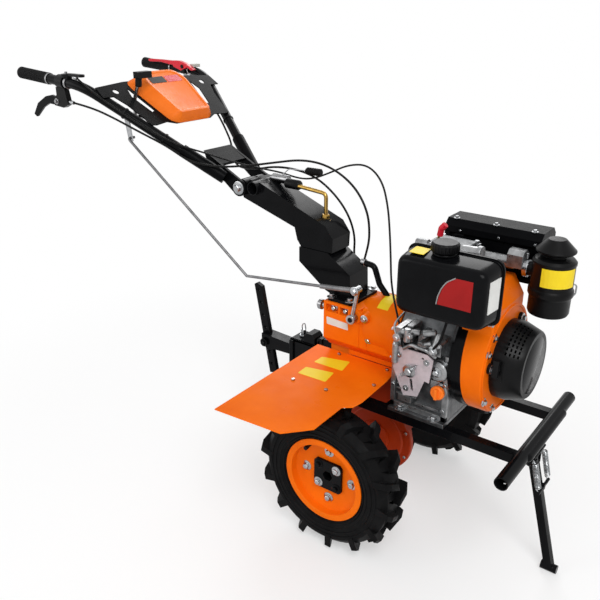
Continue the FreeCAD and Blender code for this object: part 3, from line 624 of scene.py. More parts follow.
def gearbox():
    body = Shape().plate("x", mirrored(BOX_FOOT + [(BOX_HALF, BOX_TOP)]), BOX_REAR, BOX_FRONT)
    for start, end in ((7, 46), (52, 77)):
        body.cut(Shape().box(BOX_REAR + start, BOX_REAR + end, -BOX_HALF - 2, 14 - BOX_HALF, 549, 570))
    piece("gearbox_body", body, "orange_paint", 2.4, "clutch_housing")
    section = mirrored(BOX_FOOT + [(BOX_HALF, BOX_TOP - BOX_CHAMFER), (BOX_HALF - BOX_CHAMFER, BOX_TOP)])
    bell = Shape().plate("x", section, BOX_FRONT - 0.2, BELL_NECK).turned(BELL, CRANK, AHEAD, 72)
    bell.plate("x", mirrored(BOX_FOOT + [(BOX_HALF, CRANK_Z)]), BELL_NECK, 60)
    bell.box(-92, 55, -51.7, 51.7, 430.4, 444).box(BOX_REAR + 1, -92, -34, 34, 372, 441)
    for foot, top, height, place in ((20, 17, 12, (-58, -66, 558)), (16, 13, 22, (-30, -58, 561))):
        bell.turned([(foot, 0), (top, height)], place, RIGHT, 32)
    piece("clutch_bell", bell, "orange_paint", 2.0)
    case = Shape().plate("y", CASE, CASE_RIGHT - 5, CASE_LEFT)
    for right, left, radius, sides, edge in ((CASE_RIGHT - 8, CASE_LEFT - 1, 86, 64, 4),
                                             (CASE_RIGHT, CASE_RIGHT + 17, 108, 72, 3),
                                             (-54, 54, 44, 48, 0.8)):
        case.rod((0, right, TYRE_R), (0, left, TYRE_R), radius, sides, edge)
    piece("drive_case", case, "dark_orange", 2.0, "final_drive_case")
    rows = []
    for turn in (radians(22.5 + 45 * step) for step in range(8)):
        rows += [((CASE_BOLTS * sin(turn), CASE_RIGHT, TYRE_R + CASE_BOLTS * cos(turn)), RIGHT, 8, False),
                 ((BELL_LIP, BELL_BOLTS * sin(turn), CRANK_Z + BELL_BOLTS * cos(turn)), BACK, 8, False)]
    rows += [((BOX_REAR + along, 13.5 - BOX_HALF, 559), RIGHT, 11) for along in (26, 64)]
    bolts("gearbox_bolts", rows + [((-30, -80, 561), RIGHT, 11), ((-20, -BOX_HALF, 500), RIGHT, 10)])
    profile = [(8, 0), (8, 10), (14, 12), (14, 22), (10, 26)]
    piece("gearbox_cap", Shape().turned(profile, (BOX_REAR, -58, 558), BACK, 24), "chrome")
    corners = [(x, -BOX_HALF - 0.4, z) for x, z in ((-153, 534), (-151, 513), (-83, 511), (-85, 530))]
    piece("gearbox_label", Shape().patch(corners, 0.5, 2), "white_label")
    turns = [radians(turn) for turn in range(-40, 9, 8)]
    curved_label("bell_label", "yellow_label", turns, (79.6, 80.4), (-10, 22), lambda turn, radius, x: (
        x, radius * sin(turn), CRANK_Z + radius * cos(turn)))


def gear_lever():
    lever = Shape()
    for low, high, start, end, radius, sides in (
            (SHAFT, SHAFT, 0, 26, 13, 32), (SHAFT, ARM_HEAD, 10, 10, 5.5, 24),
            (ARM_HEAD, ARM_HEAD, 3, 17, 9, 24), (ARM_HEAD, ARM_HEAD, -8, 3, 9, 24)):
        lever.rod((low[0], ARM_Y + start, low[1]), (high[0], ARM_Y + end, high[1]), radius, sides)
    piece("shift_arm", lever, "zinc_steel", 0.8, "gear_lever")
    seal = Shape().rod((SHAFT[0], ARM_Y - 1.5, SHAFT[1]), (SHAFT[0], ARM_Y + 1, SHAFT[1]), 7)
    piece("shift_arm_seal", seal, "black_rubber")
    upper = Shape().swept(rounded([(-782, -148, 957), (-782, -171, 957), ROD_MIDDLE], 12), 4)
    piece("shift_rod_upper", upper, "rod_steel",
          blend=("column", "handlebar", (-410, -115, 618), (-770, -170, 946)))
    lower = Shape().rod(ROD_MIDDLE, ROD_FRONT, 4, 12)
    lower.rod(ROD_MIDDLE.lerp(ROD_FRONT, 0.7), (-58, -101.4, 641.8), 6.5)
    lower.turned([(0, -4), (2.8, -2.8), (4, 0), (2.8, 2.8), (0, 4)], ROD_MIDDLE, AHEAD, 12)
    piece("shift_rod_lower", lower, "rod_steel",
          blend=("root", "column", (-60, -101, 642), (-390, -114, 608)))
    bolts("shift_rod_end", [((-46, -106, 643), RIGHT, 12)])
    arm = rounded([(-88, 0, 682), (-53, 0, 679), (-35, 0, 632), (-4, 0, 598)], 18)
    piece("clutch_arm", Shape().swept(arm, 8, 16), "black_paint")
    nipple = Shape().rod((-92, 0, 684), (-80, 0, 683), 9.5).rod((-84, 0, 672), (-84, 0, 694), 4.5)
    piece("clutch_nipple", nipple, "chrome", 0.6)


def seat():
    outline = [(-266, 701.7), (-266, 660), (-178, 596), (-158, PLATE_TOP), (-97, PLATE_TOP), (-100, 654),
               (-172, 701.7)]
    foot = Shape().plate("y", outline, -45, 45).rod((-142, 58, PLATE_TOP), (-142, 58, 599.6), 6)
    piece("column_seat", foot, "black_paint", 5.0, "handlebar_seat")
    outline = round_outline([(-158, -67), (-75, -67), (-75, 67), (-158, 67)], 14)
    piece("seat_plate", Shape().plate("z", outline, BOX_TOP, PLATE_TOP), "black_paint", 1.2, "shift_cover")
    corners = ((-147, -58), (-90, -57), (-87, 57), (-147, 50))
    bolts("seat_bolts", [((x, y, PLATE_TOP), UP, 13) for x, y in corners])


# --- hitch and fenders

HITCH_REAR, HITCH_FRONT = -308, -193
HITCH_HALF, HITCH_WALL = 34, 8
HITCH_LOW, HITCH_HIGH, HITCH_WEB = 319, 409, 437
PIN_X = -283
ARM_BOLT = (-415, -26, 360)
DEPTH_BAR_HOLES = (22, 62, 102, 142, 222, 262)  # down from its top
DEPTH_BAR_TOP, DEPTH_BAR_LEAN = (-450, 0, 541), radians(-11)

FENDER_LOW, FENDER_HIGH = 427, 430
# outline of the left fender, (x, y)
FENDER = [(-195, 52), (-190, 480), (-2, 467), (49, 408), (47, 292), (68, 276), (73, 244), (68, 119), (61, 62),
          (54, 52)]
FENDER_BOLTS = ((-125, 258), (-28, 251), (55, 160), (-110, 70), (40, 70))
# corners of the labels on the right fender, (x, y)
FENDER_LABELS = [[(-52, -143), (-63, -89), (-140, -110), (-140, -146)],
                 [(-54, -217), (-63, -165), (-140, -182), (-138, -221)]]


def hitch():
    rear, front, half, wall = HITCH_REAR, HITCH_FRONT, HITCH_HALF, HITCH_WALL
    low, high = HITCH_LOW, HITCH_HIGH
    bracket = Shape()
    for y0, y1, z0, z1 in ((-half, wall - half, low, high), (half - wall, half, low, high),
                           (-half, half, low, low + wall), (-half, half, high - wall, high)):
        bracket.box(rear, front, y0, y1, z0, z1)
    bracket.box(front - 12, front, -half, half, low, HITCH_WEB).box(front, BOX_REAR, -30, 30, 378, HITCH_WEB)
    outline = [(-262, 405), (-262, 428), (-252, 438), (-232, 438), (-222, 428), (-222, 405)]
    bracket.plate("y", outline, -30, 12)
    for x in (-300, -204):
        bracket.box(x - 7, x + 7, -40, -33, 322, 406)
    piece("hitch_frame", bracket, "black_paint", 1.6, "hitch_bracket")
    pin = Shape().rod((PIN_X, 0, 307), (PIN_X, 0, 432), 8).rod((PIN_X, 0, 409.5), (PIN_X, 0, 415), 12)
    piece("hitch_bolt", pin, "zinc_steel", 0, "hitch_pin")
    clip = [(0, -12, 418), (0, 8, 418), (1, 12, 428), (2, 10, 444), (2, 2, 450), (2, -6, 444), (1, -3, 430),
            (0, -9, 422)]
    clip = rounded([(PIN_X - back, y, z) for back, y, z in clip], 8)
    piece("hitch_clip", Shape().swept(clip, 1.6, 8), "chrome")
    rows = [((HITCH_FRONT - 12, y, 424), BACK, 14) for y in (-24, 24)]
    bolts("hitch_bolts", rows + [(ARM_BOLT, RIGHT, 13), ((-230, -HITCH_HALF, 364), RIGHT, 14)], "black_paint")
    arm = Shape().plate("y", [(-428, 342), (-428, 386), (-225, 377), (-225, 351)], -20, 20)
    arm.rod(ARM_BOLT, (-415, 26, 360), 5)
    piece("hitch_arm", arm, "black_paint", 1.6, "drag_bar_arm")
    bar = Shape().plate("y", [(-14, -292), (14, -292), (14, -12), (-4, 0), (-14, -4)], -7, 7)
    for down in DEPTH_BAR_HOLES:
        bar.cut(Shape().rod((0, -30, -down), (0, 30, -down), 5, 20))
    bar.moved(Matrix.Translation(DEPTH_BAR_TOP) @ Matrix.Rotation(DEPTH_BAR_LEAN, 4, "Y"))
    piece("depth_bar", bar, "black_paint", 1.0, "drag_bar")


def fenders():
    for side, hand in SIDES:
        plate = Shape().plate("z", [(x, hand * y) for x, y in FENDER], FENDER_LOW, FENDER_HIGH)
        piece("fender_plate_" + side, plate, "orange_paint", 0.9, "fender_" + side)
        brace = Shape()
        for x in (-120, 30):
            brace.box(x, x + 20, *sorted((hand * 52, hand * 210)), FENDER_LOW - 4, FENDER_LOW)
        piece("fender_brace_" + side, brace, "black_paint", 0.8)
        bolts("fender_bolts_" + side, [((x, hand * y, FENDER_HIGH), UP, 9, False) for x, y in FENDER_BOLTS])
    for i, corners in enumerate(FENDER_LABELS):
        label = Shape().patch([(x, y, FENDER_HIGH + 0.3) for x, y in corners], 0.5, 4)
        piece("fender_label_%d" % i, label, "yellow_label")


# --- frame, bumper and stand

BAR_Z = 343.7
BAR_X, GUARD_X = 426.5, 438.5
SPRING_TOP, SPRING_FOOT = (444, 326), (466, 236)  # (x, z)
STAND_BOLT = (432, -56, 306)


def chassis():
    for node in ("engine_rail_right", "engine_rail_left", "rail_cross", "stand_leg"):
        soften(node, 2.0)
    bar = Shape().tube((BAR_X, -232, BAR_Z), (BAR_X, 232, BAR_Z), 16.5, 13.5)
    bar.cut(Shape().rod((BAR_X, -205, BAR_Z - 30), (BAR_X, -205, BAR_Z - 8), 3.5))
    guard = [(BAR_X, 153), (GUARD_X, 143), (GUARD_X, -102), (BAR_X, -112)]
    bar.swept(rounded([(x, y, BAR_Z) for x, y in guard], 12), 11, 20)
    for y in (-50, -24):
        bar.box(418, 446, y - 2, y + 3, 292, BAR_Z - 10)
    bar.rod(STAND_BOLT, (432, -14, 306), 5)
    (x0, z0), (x1, z1) = SPRING_TOP, SPRING_FOOT
    bar.rod((x0, -72, z0), (x0, 2, z0), 4).bolt(STAND_BOLT, RIGHT, 15)
    piece("bumper", bar, "black_paint", 1.0, "bumper_bar")
    lug = Shape().box(446, 470, -39, -31, 229, 243).rod((x1, -72, z1), (x1, 2, z1), 4)
    piece("spring_lug", lug, "black_paint", 1.0, body="stand")
    for side, y in (("right", -67), ("left", -3)):
        piece("stand_spring_" + side, Shape().coil((x0, y, z0), (x1, y, z1), 6.2, 1.4, 17), "zinc_steel",
              blend=("root", "stand", (x0, y, z0 - 4), (x1, y, z1 + 4)))


# --- engine

ENGINE_REAR, ENGINE_FRONT = 80, 235
BASE_LOW, BASE_TOP = 356.2, 368.2
FACE = -112  # the crankcase's right side
OIL_X, OIL_Z = 214, 452
PLATE_Y = -146  # the speed plate's right side
LEVER_X, LEVER_Z = 144, 497  # its arm's pivot
COVER_TOP_Z = 782
INLET_Y, INLET_Z = 54, 748


def crankcase():
    block = Shape().box(ENGINE_REAR, ENGINE_FRONT, -130, 130, BASE_LOW, BASE_TOP)
    outline = [(-112, BASE_TOP), (112, BASE_TOP), (112, 546), (66, 606), (-66, 606), (-112, 546)]
    block.plate("x", outline, ENGINE_REAR, ENGINE_FRONT)
    # The block takes the darker cast finish: painted shade in the hollows between the bright castings.
    piece("crankcase", block, "cast_painted_shade", 1.8, "engine_crankcase")
    # Darker cast wedges on the block's chamfered top: painted shade between the castings.
    hollow = Shape()
    for hand in (-1, 1):
        outline = [(hand * y, z) for y, z in ((113.5, 541), (66.5, 608.5), (60, 600), (60, 541))]
        hollow.plate("x", outline, 93, 220)
    piece("crankcase_hollow", hollow, "cast_painted_shade", 1.0)
    block = Shape()
    for x0, x1, top in ((ENGINE_REAR, 92, 546), (221, ENGINE_FRONT, 546),
                        (ENGINE_REAR, ENGINE_FRONT, BASE_TOP + 14)):
        block.box(x0, x1, FACE - 7, FACE + 2, BASE_TOP, top)
    # ribs and bosses of the castings: x from and to, z from and to, how far they stand out
    for x0, x1, z0, z1, out in ((96, 112, 552, 598, 30), (120, 136, 562, 604, 16), (150, 162, 548, 590, 12),
                                (190, 214, 546, 584, 20), (96, 116, 500, 548, 18), (190, 214, 455, 476, 10),
                                (150, 214, 392, 398, 9), (104, 140, 392, 410, 12)):
        block.box(x0, x1, FACE - out, FACE + 30, z0, z1)
    # round castings and links behind the speed plate, from and to
    for start, end, radius in (((104, -150, 508), (104, -150, 560), 8),
                               ((128, -138, 566), (128, -138, 600), 10),
                               ((112, -142, 590), (158, -130, 594), 7),
                               ((150, -136, 556), (192, -136, 578), 8),
                               ((202, -150, 556), (202, -120, 600), 9),
                               ((166, -134, 596), (196, -126, 604), 8)):
        block.rod(start, end, radius, 20, 2)
    block.swept(rounded([(126, -150, 552), (150, -158, 572), (188, -154, 566), (206, -140, 548)], 16), 4.5)
    for z in (404, 418, 432, 446):
        block.box(94, 150, FACE - 4, FACE + 2, z, z + 3.5)
    for x, z, radius, out in ((108, 578, 9, 44), (140, 588, 8, 40), (166, 572, 7, 34), (200, 566, 11, 36),
                              (104, 524, 8, 26), (214, 580, 6, 32), (170, 590, 5, 26)):
        block.rod((x, FACE + 4, z), (x, FACE - out, z), radius, 20)
    block.turned([(29, 0), (29, 8), (26, 12), (26, 19), (22, 22)], (208, FACE, 507), RIGHT, 40)
    block.turned([(20, 0), (20, 6), (16, 9), (16, 14)], (OIL_X, FACE, OIL_Z), RIGHT, 32)
    piece("crankcase_castings", block, "cast_aluminium", 1.8)
    rows = [((x, FACE - out, z), RIGHT, size, size > 9) for x, out, z, size in (
        (208, 22, 507, 13), (108, 44, 578, 10), (140, 40, 588, 9), (200, 36, 566, 12), (214, 32, 580, 8),
        (226, 7, 400, 9), (226, 7, 470, 9), (226, 7, 530, 9), (88, 7, 430, 9), (88, 7, 500, 9))]
    rows += [((x, y, BASE_TOP), UP, 15) for x in (112, 204) for y in (-122, 122)]
    bolts("crankcase_bolts", rows)
    cap = Shape().turned([(17, 0), (18, 3), (18, 9), (15, 12)], (OIL_X, FACE - 14, OIL_Z), RIGHT, 16)
    cap.box(OIL_X - 3.5, OIL_X + 3.5, FACE - 33, FACE - 24, OIL_Z - 14, OIL_Z + 14)
    piece("oil_cap", cap, "orange_plastic", 0.8)
    for name, route, radius, colour in (
            ("fuel_hose", [(200, -146, 570), (222, -160, 600), (232, -120, 700)], 3.2, "black_rubber"),
            ("injection_pipe", [(108, -156, 580), (100, -160, 612), (112, -120, 640), (120, -80, 742),
                                (140, -30, 760)], 2.6, "zinc_steel")):
        piece(name, Shape().swept(rounded(route, 24), radius, 10), colour)


def control_plate():
    y = PLATE_Y
    outline = [(110, 551), (188, 551), (203, 540), (196, 478), (184, 480), (168, 432), (130, 424), (98, 492)]
    plate = Shape().plate("y", outline, y, y + 3)
    slot = round_outline([(144, 474), (151, 476), (157, 444), (150, 442)], 3.4, 4)
    plate.cut(Shape().plate("y", slot, y - 6, y + 8))
    for x, z in ((176, 538), (122, 440)):
        plate.cut(Shape().rod((x, y - 6, z), (x, y + 8, z), 3, 16))
    for x, z in ((112, 530), (186, 530), (150, 438)):
        plate.rod((x, y + 2, z), (x, -110, z), 6)
    plate.rod((LEVER_X, y - 4, LEVER_Z), (LEVER_X, y, LEVER_Z), 17, 32)
    piece("speed_plate", plate, "grey_zinc", 0.6)
    rows = [((x, y, z), RIGHT, 8) for x, z in ((112, 530), (186, 530), (136, 446))]
    bolts("speed_plate_bolts", [((LEVER_X, y - 4, LEVER_Z), RIGHT, 17)] + rows, "chrome")
    piece("governor_spring", Shape().coil((118, y - 6, 474), (166, y - 6, 520), 4, 0.9, 14), "zinc_steel")
    piece("throttle_ferrule", Shape().rod((114, -134, 566), (122, -142, 548), 5), "black_plastic", 0.4)


def cylinder():
    soften("engine_cylinder", 0.9)
    cover = Shape().box(108, 216, -46, 46, 752, COVER_TOP_Z)
    cover.plate("x", [(-40, COVER_TOP_Z), (40, COVER_TOP_Z), (32, 790), (-32, 790)], 113, 211)
    # The housing takes the darker cast finish, painted shade.
    piece("rocker_housing", cover, "cast_painted_shade", 4.0, "rocker_cover")
    bolts("rocker_bolts", [((x, y, COVER_TOP_Z), UP, 11) for y in (-38, 38) for x in (118, 206)])
    # short cast stubs behind the tank's cap: from (x, z), to (x, z), radius and sides
    stubs = Shape()
    for (x0, z0), (x1, z1), radius, sides in (
            ((98, 788), (128, 789), 14, 28), ((126, 788), (222, 790), 9, 28),
            ((214, 792), (256, 794), 15, 28), ((252, 794), (262, 794), 18, 28),
            ((160, 740), (160, 788), 10, 24)):
        stubs.rod((x0, -62, z0), (x1, -62, z1), radius, sides)
    piece("return_pipe", stubs, "cast_aluminium", 1.5)
    lever = rounded([(132, -20, 786), (132, -20, 798), (138, -24, 812)], 8)
    piece("decompression_rod", Shape().swept(lever, 3), "yellow_zinc")
    grip = Shape().rod((137, -24, 804), (141, -25, 826), 7.5, 20).rod((140, -25, 822), (150, -24, 834), 8, 20)
    piece("decompression_grip", grip, "red_plastic", 0.8)
    inlet = Shape().rod((222, INLET_Y, INLET_Z), (300, INLET_Y, INLET_Z), 15, 32)
    inlet.plate("x", [(34, 742), (74, 742), (74, 773), (64, 783), (44, 783), (34, 773)], 284, 322)
    piece("inlet_flange", inlet, "cast_aluminium", 1.6, "inlet_pipe")
    clip = Shape().rod((322, INLET_Y, 742), (334, INLET_Y, 742), 21, 32)
    clip.rod((326, INLET_Y, 764), (326, INLET_Y, 778), 3)
    piece("inlet_clip", clip, "zinc_steel", 0.8)


# --- fan shroud and starter

SHROUD_FRONT = 322
BAND_REAR, BAND_LEAN, BAND_WIDTH = 237, 14, 25  # the band starts further ahead at its foot, by its lean
BAND = (134, 138.8)  # inner and outer radius
CUP_R = 98
CUP_FACE = 392
SLOT_ROWS, SLOTS_IN_ROW, SLOT_STEP = (350, 359, 368, 377), 9, 7
EARS, EAR_FACE = 106, 330  # radius that the three ears are at, and their face
ROPE_X, ROPE_TURN = 341, 84
SHROUD_BOLTS = 0.93  # of the way out to the shroud's edge


def on_crank(turn):
    """Turn about the crank, from drawings that have it at their origin."""
    return Matrix.Translation(CRANK) @ Matrix.Rotation(radians(turn), 4, "X")


def shroud():
    soften("back_plate", 1.0)
    soften("fan_shroud", 6.0, angle=40)
    rows = [((SHROUD_FRONT, y * SHROUD_BOLTS, CRANK_Z + (z - CRANK_Z) * SHROUD_BOLTS), AHEAD, 11)
            for y, z in ((-124, 584), (-96, 620), (-120, 450), (-60, 404))]
    rows += [(place, RIGHT, 11) for place in ((258, -100, 640), (258, -100, 690), (312, -98, 650))]
    bolts("shroud_bolts", rows)
    rim = Shape().turned([(128, 0), (135, 0), (135, 3), (128, 3)], (321, 0, CRANK_Z), AHEAD, 72, True)
    piece("shroud_rim", rim, "orange_paint", 1.0)
    inner, outer = BAND
    band = []
    for turn in (radians(5 * step) for step in range(72)):
        y, z = sin(turn), cos(turn)
        rear = BAND_REAR + BAND_LEAN * (1 - z) / 2
        band.append([(rear + along, y * radius, CRANK_Z + z * radius) for along, radius in
                     ((0, inner), (0, outer), (BAND_WIDTH, outer), (BAND_WIDTH, inner))])
    piece("shroud_band", Shape().rings(band, True), "black_paint", 0.6)


def starter():
    profile = [(CUP_R, SHROUD_FRONT), (CUP_R, 348), (84, 389), (81, CUP_FACE)]
    cup = Shape().turned(profile, CRANK, AHEAD, 80)
    slots = Shape()
    for x in SLOT_ROWS:
        for step in range(SLOTS_IN_ROW):
            slot = Shape().box(x - 2, x + 2, -3.6, 3.6, 76, 104).moved(on_crank(SLOT_STEP * step + 2))
            corners = [vertex.co.copy() for vertex in slot.mesh.verts]
            slots.rings([corners[:4], corners[4:]])
    piece("starter_cup", cup.cut(slots), "black_plastic", 1.0, "recoil_starter")
    piece("starter_core", Shape().turned([(74, 325), (74, 389)], CRANK, AHEAD, 48), "black_rubber")
    profile = [(70, CUP_FACE - 0.1), (69, CUP_FACE + 0.5)]
    piece("starter_face", Shape().turned(profile, CRANK, AHEAD, 64), "black_paint")
    ears = Shape()
    rows = []
    for turn in (radians(turn) for turn in (-38, 82, 202)):
        y, z = -EARS * sin(turn), CRANK_Z + EARS * cos(turn)
        ears.rod((SHROUD_FRONT, y, z), (EAR_FACE, y, z), 13)
        rows.append(((EAR_FACE, y, z), AHEAD, 12))
    piece("starter_ears", ears, "black_plastic", 1.0)
    bolts("starter_bolts", rows)
    turn = on_crank(ROPE_TURN)
    hole = Shape().rod((ROPE_X, -8, 90), (ROPE_X, -8, 106), 4, 16)
    plate = Shape().box(330, 353, -24, 26, 97.6, 99.8).cut(hole)
    eye = Shape().box(333, 342, -16, 14, 99.6, 101.4)
    handle = Shape().rod((ROPE_X, 8, 99), (ROPE_X, 8, 108), 8).box(334, 348, -12, 30, 106, 116)
    for name, shape, colour, soft in (("starter_rope_plate", plate, "black_plastic", 0.8),
                                      ("starter_rope_eye", eye, "grey_zinc", 0.8),
                                      ("starter_handle", handle, "black_plastic", 2.4)):
        piece(name, shape.moved(turn), colour, soft)


# --- tank, muffler and air cleaner

TANK = (130, 350, -230, -122, 676, 820)  # x from and to, y from and to, z from and to
TANK_CORNER = 27
TANK_SEAM = -160
CAP_X, CAP_Y = 224, -176
CAP_STEPS, CAP_GROOVE = 72, 1.6
MUFFLER = (97, 344, 86, 186, 690, 815)
MUFFLER_CHAMFER = 16
CLEANER_X, CLEANER_Y = 390, 52
# the air cleaner's profile, (radius, z)
CLEANER = [(34, 642), (45, 646), (47.5, 652), (47.5, 688), (50, 692), (51.5, 695), (51.5, 706), (49, 710),
           (48, 712), (48, 767), (49.5, 769), (49.5, 775), (44, 781), (25, 784), (25, 790), (42, 795),
           (45, 798), (45, 801), (24, 822), (20, 826), (0, 827)]


def tank():
    x0, x1, y0, y1, z0, z1 = TANK
    outline = round_outline([(x0, z0), (x1, z0), (x1, z1), (x0, z1)], TANK_CORNER, 8)
    middle_x, middle_z, width, height = (x0 + x1) / 2, (z0 + z1) / 2, (x1 - x0) / 2, (z1 - z0) / 2
    # how far in the outline is along the tank, with the seam's flange standing proud
    rings = []
    for y, inset in ((y0, 19), (y0 + 1, 14), (y0 + 4, 9.5), (y0 + 9, 6.5), (y0 + 15, 5), (TANK_SEAM, 0),
                     (TANK_SEAM, -4.4), (TANK_SEAM + 6, -4.4), (TANK_SEAM + 6, 0), (y1 - 14, 3), (y1 - 5, 6),
                     (y1, 13)):
        rings.append([(middle_x + (x - middle_x) * (width - inset) / width, y,
                       middle_z + (z - middle_z) * (height - inset) / height) for x, z in outline])
    body = Shape().rings(rings)
    body.turned([(27, 0), (27, 3), (24, 7)], (CAP_X, CAP_Y, 818), UP, 36)
    piece("tank_shell", body, "black_paint", 1.4, "fuel_tank", angle=28)
    rings = []
    for z, radius in ((825, 29), (827, 31), (842, 31), (846, 27)):
        ring = []
        for step in range(CAP_STEPS):
            turn = 2 * pi * step / CAP_STEPS
            r = radius - (CAP_GROOVE if step % 3 == 0 and radius > 30 else 0)
            ring.append((CAP_X + r * cos(turn), CAP_Y + r * sin(turn), z))
        rings.append(ring)
    piece("tank_lid", Shape().rings(rings), "black_plastic", 0.8, "tank_cap")
    soften("tank_bracket", 1.2)
    y = y0 - 0.2
    arc = [(278, 791), (260, 779), (253, 769.5), (247, 758.5), (241.5, 742.5), (238.7, 724)]
    red = [(317, y, 724), (317, y, 791)] + [(x + 1.5, y, z) for x, z in arc]
    piece("tank_panel", Shape().rings([red, [(a, b - 0.5, c) for a, b, c in red]]), "red_label")
    edge = rounded([(x - 0.8, y - 0.6, z) for x, z in arc], 20)
    piece("tank_panel_edge", Shape().swept(edge, 1.3, 8), "grey_label")
    side = [(x1 - 4, -212, 719), (x1, -166, 719), (x1, -166, 791), (x1 - 4, -212, 791)]
    piece("tank_side_label", Shape().patch(side, 0.6, 2), "white_label")
    top = [(x, y, z1 + 0.2) for x, y in ((157, -213), (192, -213), (188, -170), (153, -170))]
    piece("tank_top_label", Shape().patch(top, 0.5, 3), "yellow_label")


def muffler():
    x0, x1, y0, y1, z0, z1 = MUFFLER
    c = MUFFLER_CHAMFER
    body = Shape().plate("x", [(y0 + 7, z0), (y1, z0), (y1, z1 - c), (y1 - c, z1), (y0 + c, z1), (y0, z1 - c),
                               (y0, z1 - c - 16), (y0 + 7, z1 - c - 22)], x0, x1)
    # frame round its recessed right side
    for left, right, top in ((x0, x0 + 14, z1 - c - 14), (x1 - 14, x1, z1 - c - 14),
                             (x0 + 14, x1 - 14, z0 + 12)):
        body.box(left, right, y0, y0 + 8, z0, top)
    body.rod((158, 60, 734), (158, 94, 734), 17, 32).tube((340, 156, 724), (366, 156, 724), 13, 10.5)
    piece("muffler_box", body, "black_sheet", 3.0, "muffler")
    rows = [((x, 104, z1), UP, 8) for x in (120, 224, 320)]
    bolts("muffler_bolts", rows + [((x, y0, 790), RIGHT, 6, False) for x in (140, 240, 330)])
    piece("muffler_brace", Shape().box(128, 152, 78, 86, 700, 782), "black_paint", 1.4)


def air_cleaner():
    bowl = Shape().turned(CLEANER, (CLEANER_X, CLEANER_Y, 0), UP, 64)
    bowl.rod((330, INLET_Y, 742), (372, INLET_Y, 742), 17, 32)
    piece("cleaner_body", bowl, "black_plastic", 0.8, "air_cleaner", angle=38)
    turns = [radians(turn) for turn in range(-104, 6, 11)]
    curved_label("cleaner_label", "yellow_label", turns, (48.3, 48.9), (722, 766), lambda turn, radius, z: (
        CLEANER_X + radius * cos(turn), CLEANER_Y + radius * sin(turn), z))
    clip = rounded([(425, 82, 716), (436, 92, 712), (436, 92, 690), (424, 80, 676), (424, 80, 668)], 8)
    piece("cleaner_clip", Shape().swept(clip, 2, 10), "zinc_steel")


# --- handlebar

SOCKET = Vector((-572, 94, 901))
BEND = Vector((-871, 241, 1101))
GRIP_END = Vector((-1150, 241, 1122))
TUBE_SLOPE = atan2(BEND.z - SOCKET.z, SOCKET.x - BEND.x)
TUBE_R, BORE_R = 14, 14.2  # the tubes, and what goes round them
GRIP_LONG, GRIP_RIDGES = 130, 20
CLAMP_X, BOOT = -210, (-296, 27, 893)
BOOT_FOLDS = 8
TIES = ((250, -1), (120, -1), (60, -1), (150, 1), (40, 1))  # up from the socket, hand
# outlines of the console's cover at its foot and its top, (down the tubes, y)
COVER_FOOT = [(-341, -114), (-341, 114), (-283, 110), (-160, 84), (-144, 62), (-144, -62), (-160, -84),
              (-283, -110)]
COVER_TOP = [(-338, -58), (-338, 58), (-300, 78), (-164, 62), (-156, 56), (-156, -56), (-164, -62),
             (-300, -78)]
COVER_MIDDLE = -250
# the cover's rings: share of the way from foot to top outline, how far in, how far off the tubes' plane
COVER_RINGS = ((0, 0, 17.4), (0.03, 0, 20), (0.55, 0, 35), (0.8, 0, 42), (0.92, 0, 45.6), (1, 0, 47.2),
               (1, 4, 47.4), (1, 7, 47), (1, 9, 45.6), (1, 11, 45.2))
LEVER_HALF = 5
RIGHT_Y, LEFT_Y = -241, 219  # middle planes of the two hand levers


def on_tubes(down, y, up):
    """Point by how far it is down the tubes from their sockets, its y, and how far it is off their plane."""
    return (SOCKET.x + down * cos(TUBE_SLOPE) + up * sin(TUBE_SLOPE), y,
            SOCKET.z - down * sin(TUBE_SLOPE) + up * cos(TUBE_SLOPE))


def handed(point, hand):
    return Vector((point.x, hand * point.y, point.z))


def column():
    soften("handlebar_column", 3.0)
    clamp = rounded([(CLAMP_X, 0, 780), (CLAMP_X, 0, 848), (-300, 0, 855)], 14)
    piece("clamp_handle", Shape().swept(clamp, 5.5, 16), "yellow_zinc", 0, "swivel_clamp")
    nut = Shape().turned([(16, 0), (16, 2)], (CLAMP_X, 0, 776), UP, 24)
    nut.turned([(11, 2), (11, 14), (9.5, 16)], (CLAMP_X, 0, 776), UP, 6)
    piece("clamp_nut", nut, "yellow_zinc", body="column")
    knob = Shape().turned([(11, 0), (13.5, 3), (13.5, 44), (11, 48)], (-348, 6, 856), AHEAD, 16)
    piece("tilt_knob", knob, "black_plastic", 0.5, body="column")
    lock = Shape().rod((-404, 18, 862), (-348, 18, 862), 12.5, 32, 2).rod((-412, 18, 862), (-402, 18, 862), 7)
    piece("tilt_lock", lock, "chrome", 0.6, body="column")
    profile = [(6, 0), (8, 2)]
    for fold in range(BOOT_FOLDS):
        profile += [(10.5, 6 + 6 * fold), (7.5, 9 + 6 * fold)]
    piece("cable_boot", Shape().turned(profile, BOOT, (1, 0, 0.02), 24), "black_rubber", body="column")
    wire = rounded([(-372, 16, 872), (-350, 20, 892), (-300, 27, 893)], 14)
    piece("cable_wire", Shape().swept(wire, 1.4, 8), "chrome", body="column")
    bolts("tilt_bolts", [((-468, hand * 58, 837), (0, hand, 0), 19) for hand in (-1, 1)], body="handlebar")


def console_cover():
    """Cover with rounded corners and a raised rim round its top."""
    rings = []
    for share, inset, up in COVER_RINGS:
        scale = 1 - inset / 80
        outline = [(a + (c - a) * share, b + (d - b) * share)
                   for (a, b), (c, d) in zip(COVER_FOOT, COVER_TOP)]
        outline = [(COVER_MIDDLE + (down - COVER_MIDDLE) * scale, y * scale) for down, y in outline]
        rings.append([on_tubes(down, y, up) for down, y in round_outline(outline, 46, 5)])
    piece("console_shell", Shape().rings(rings), "orange_plastic", 0, "console_cover", angle=50)
    for name, colour, near, far in (("console_badge", "black_plastic", -60, -2),
                                    ("console_label", "red_plastic", 2, 60)):
        corners = [on_tubes(down, y, 45.4)
                   for down, y in ((-313, near), (-286, near), (-286, far), (-313, far))]
        piece(name, Shape().patch(corners, 0.6, 4), colour, body="handlebar")


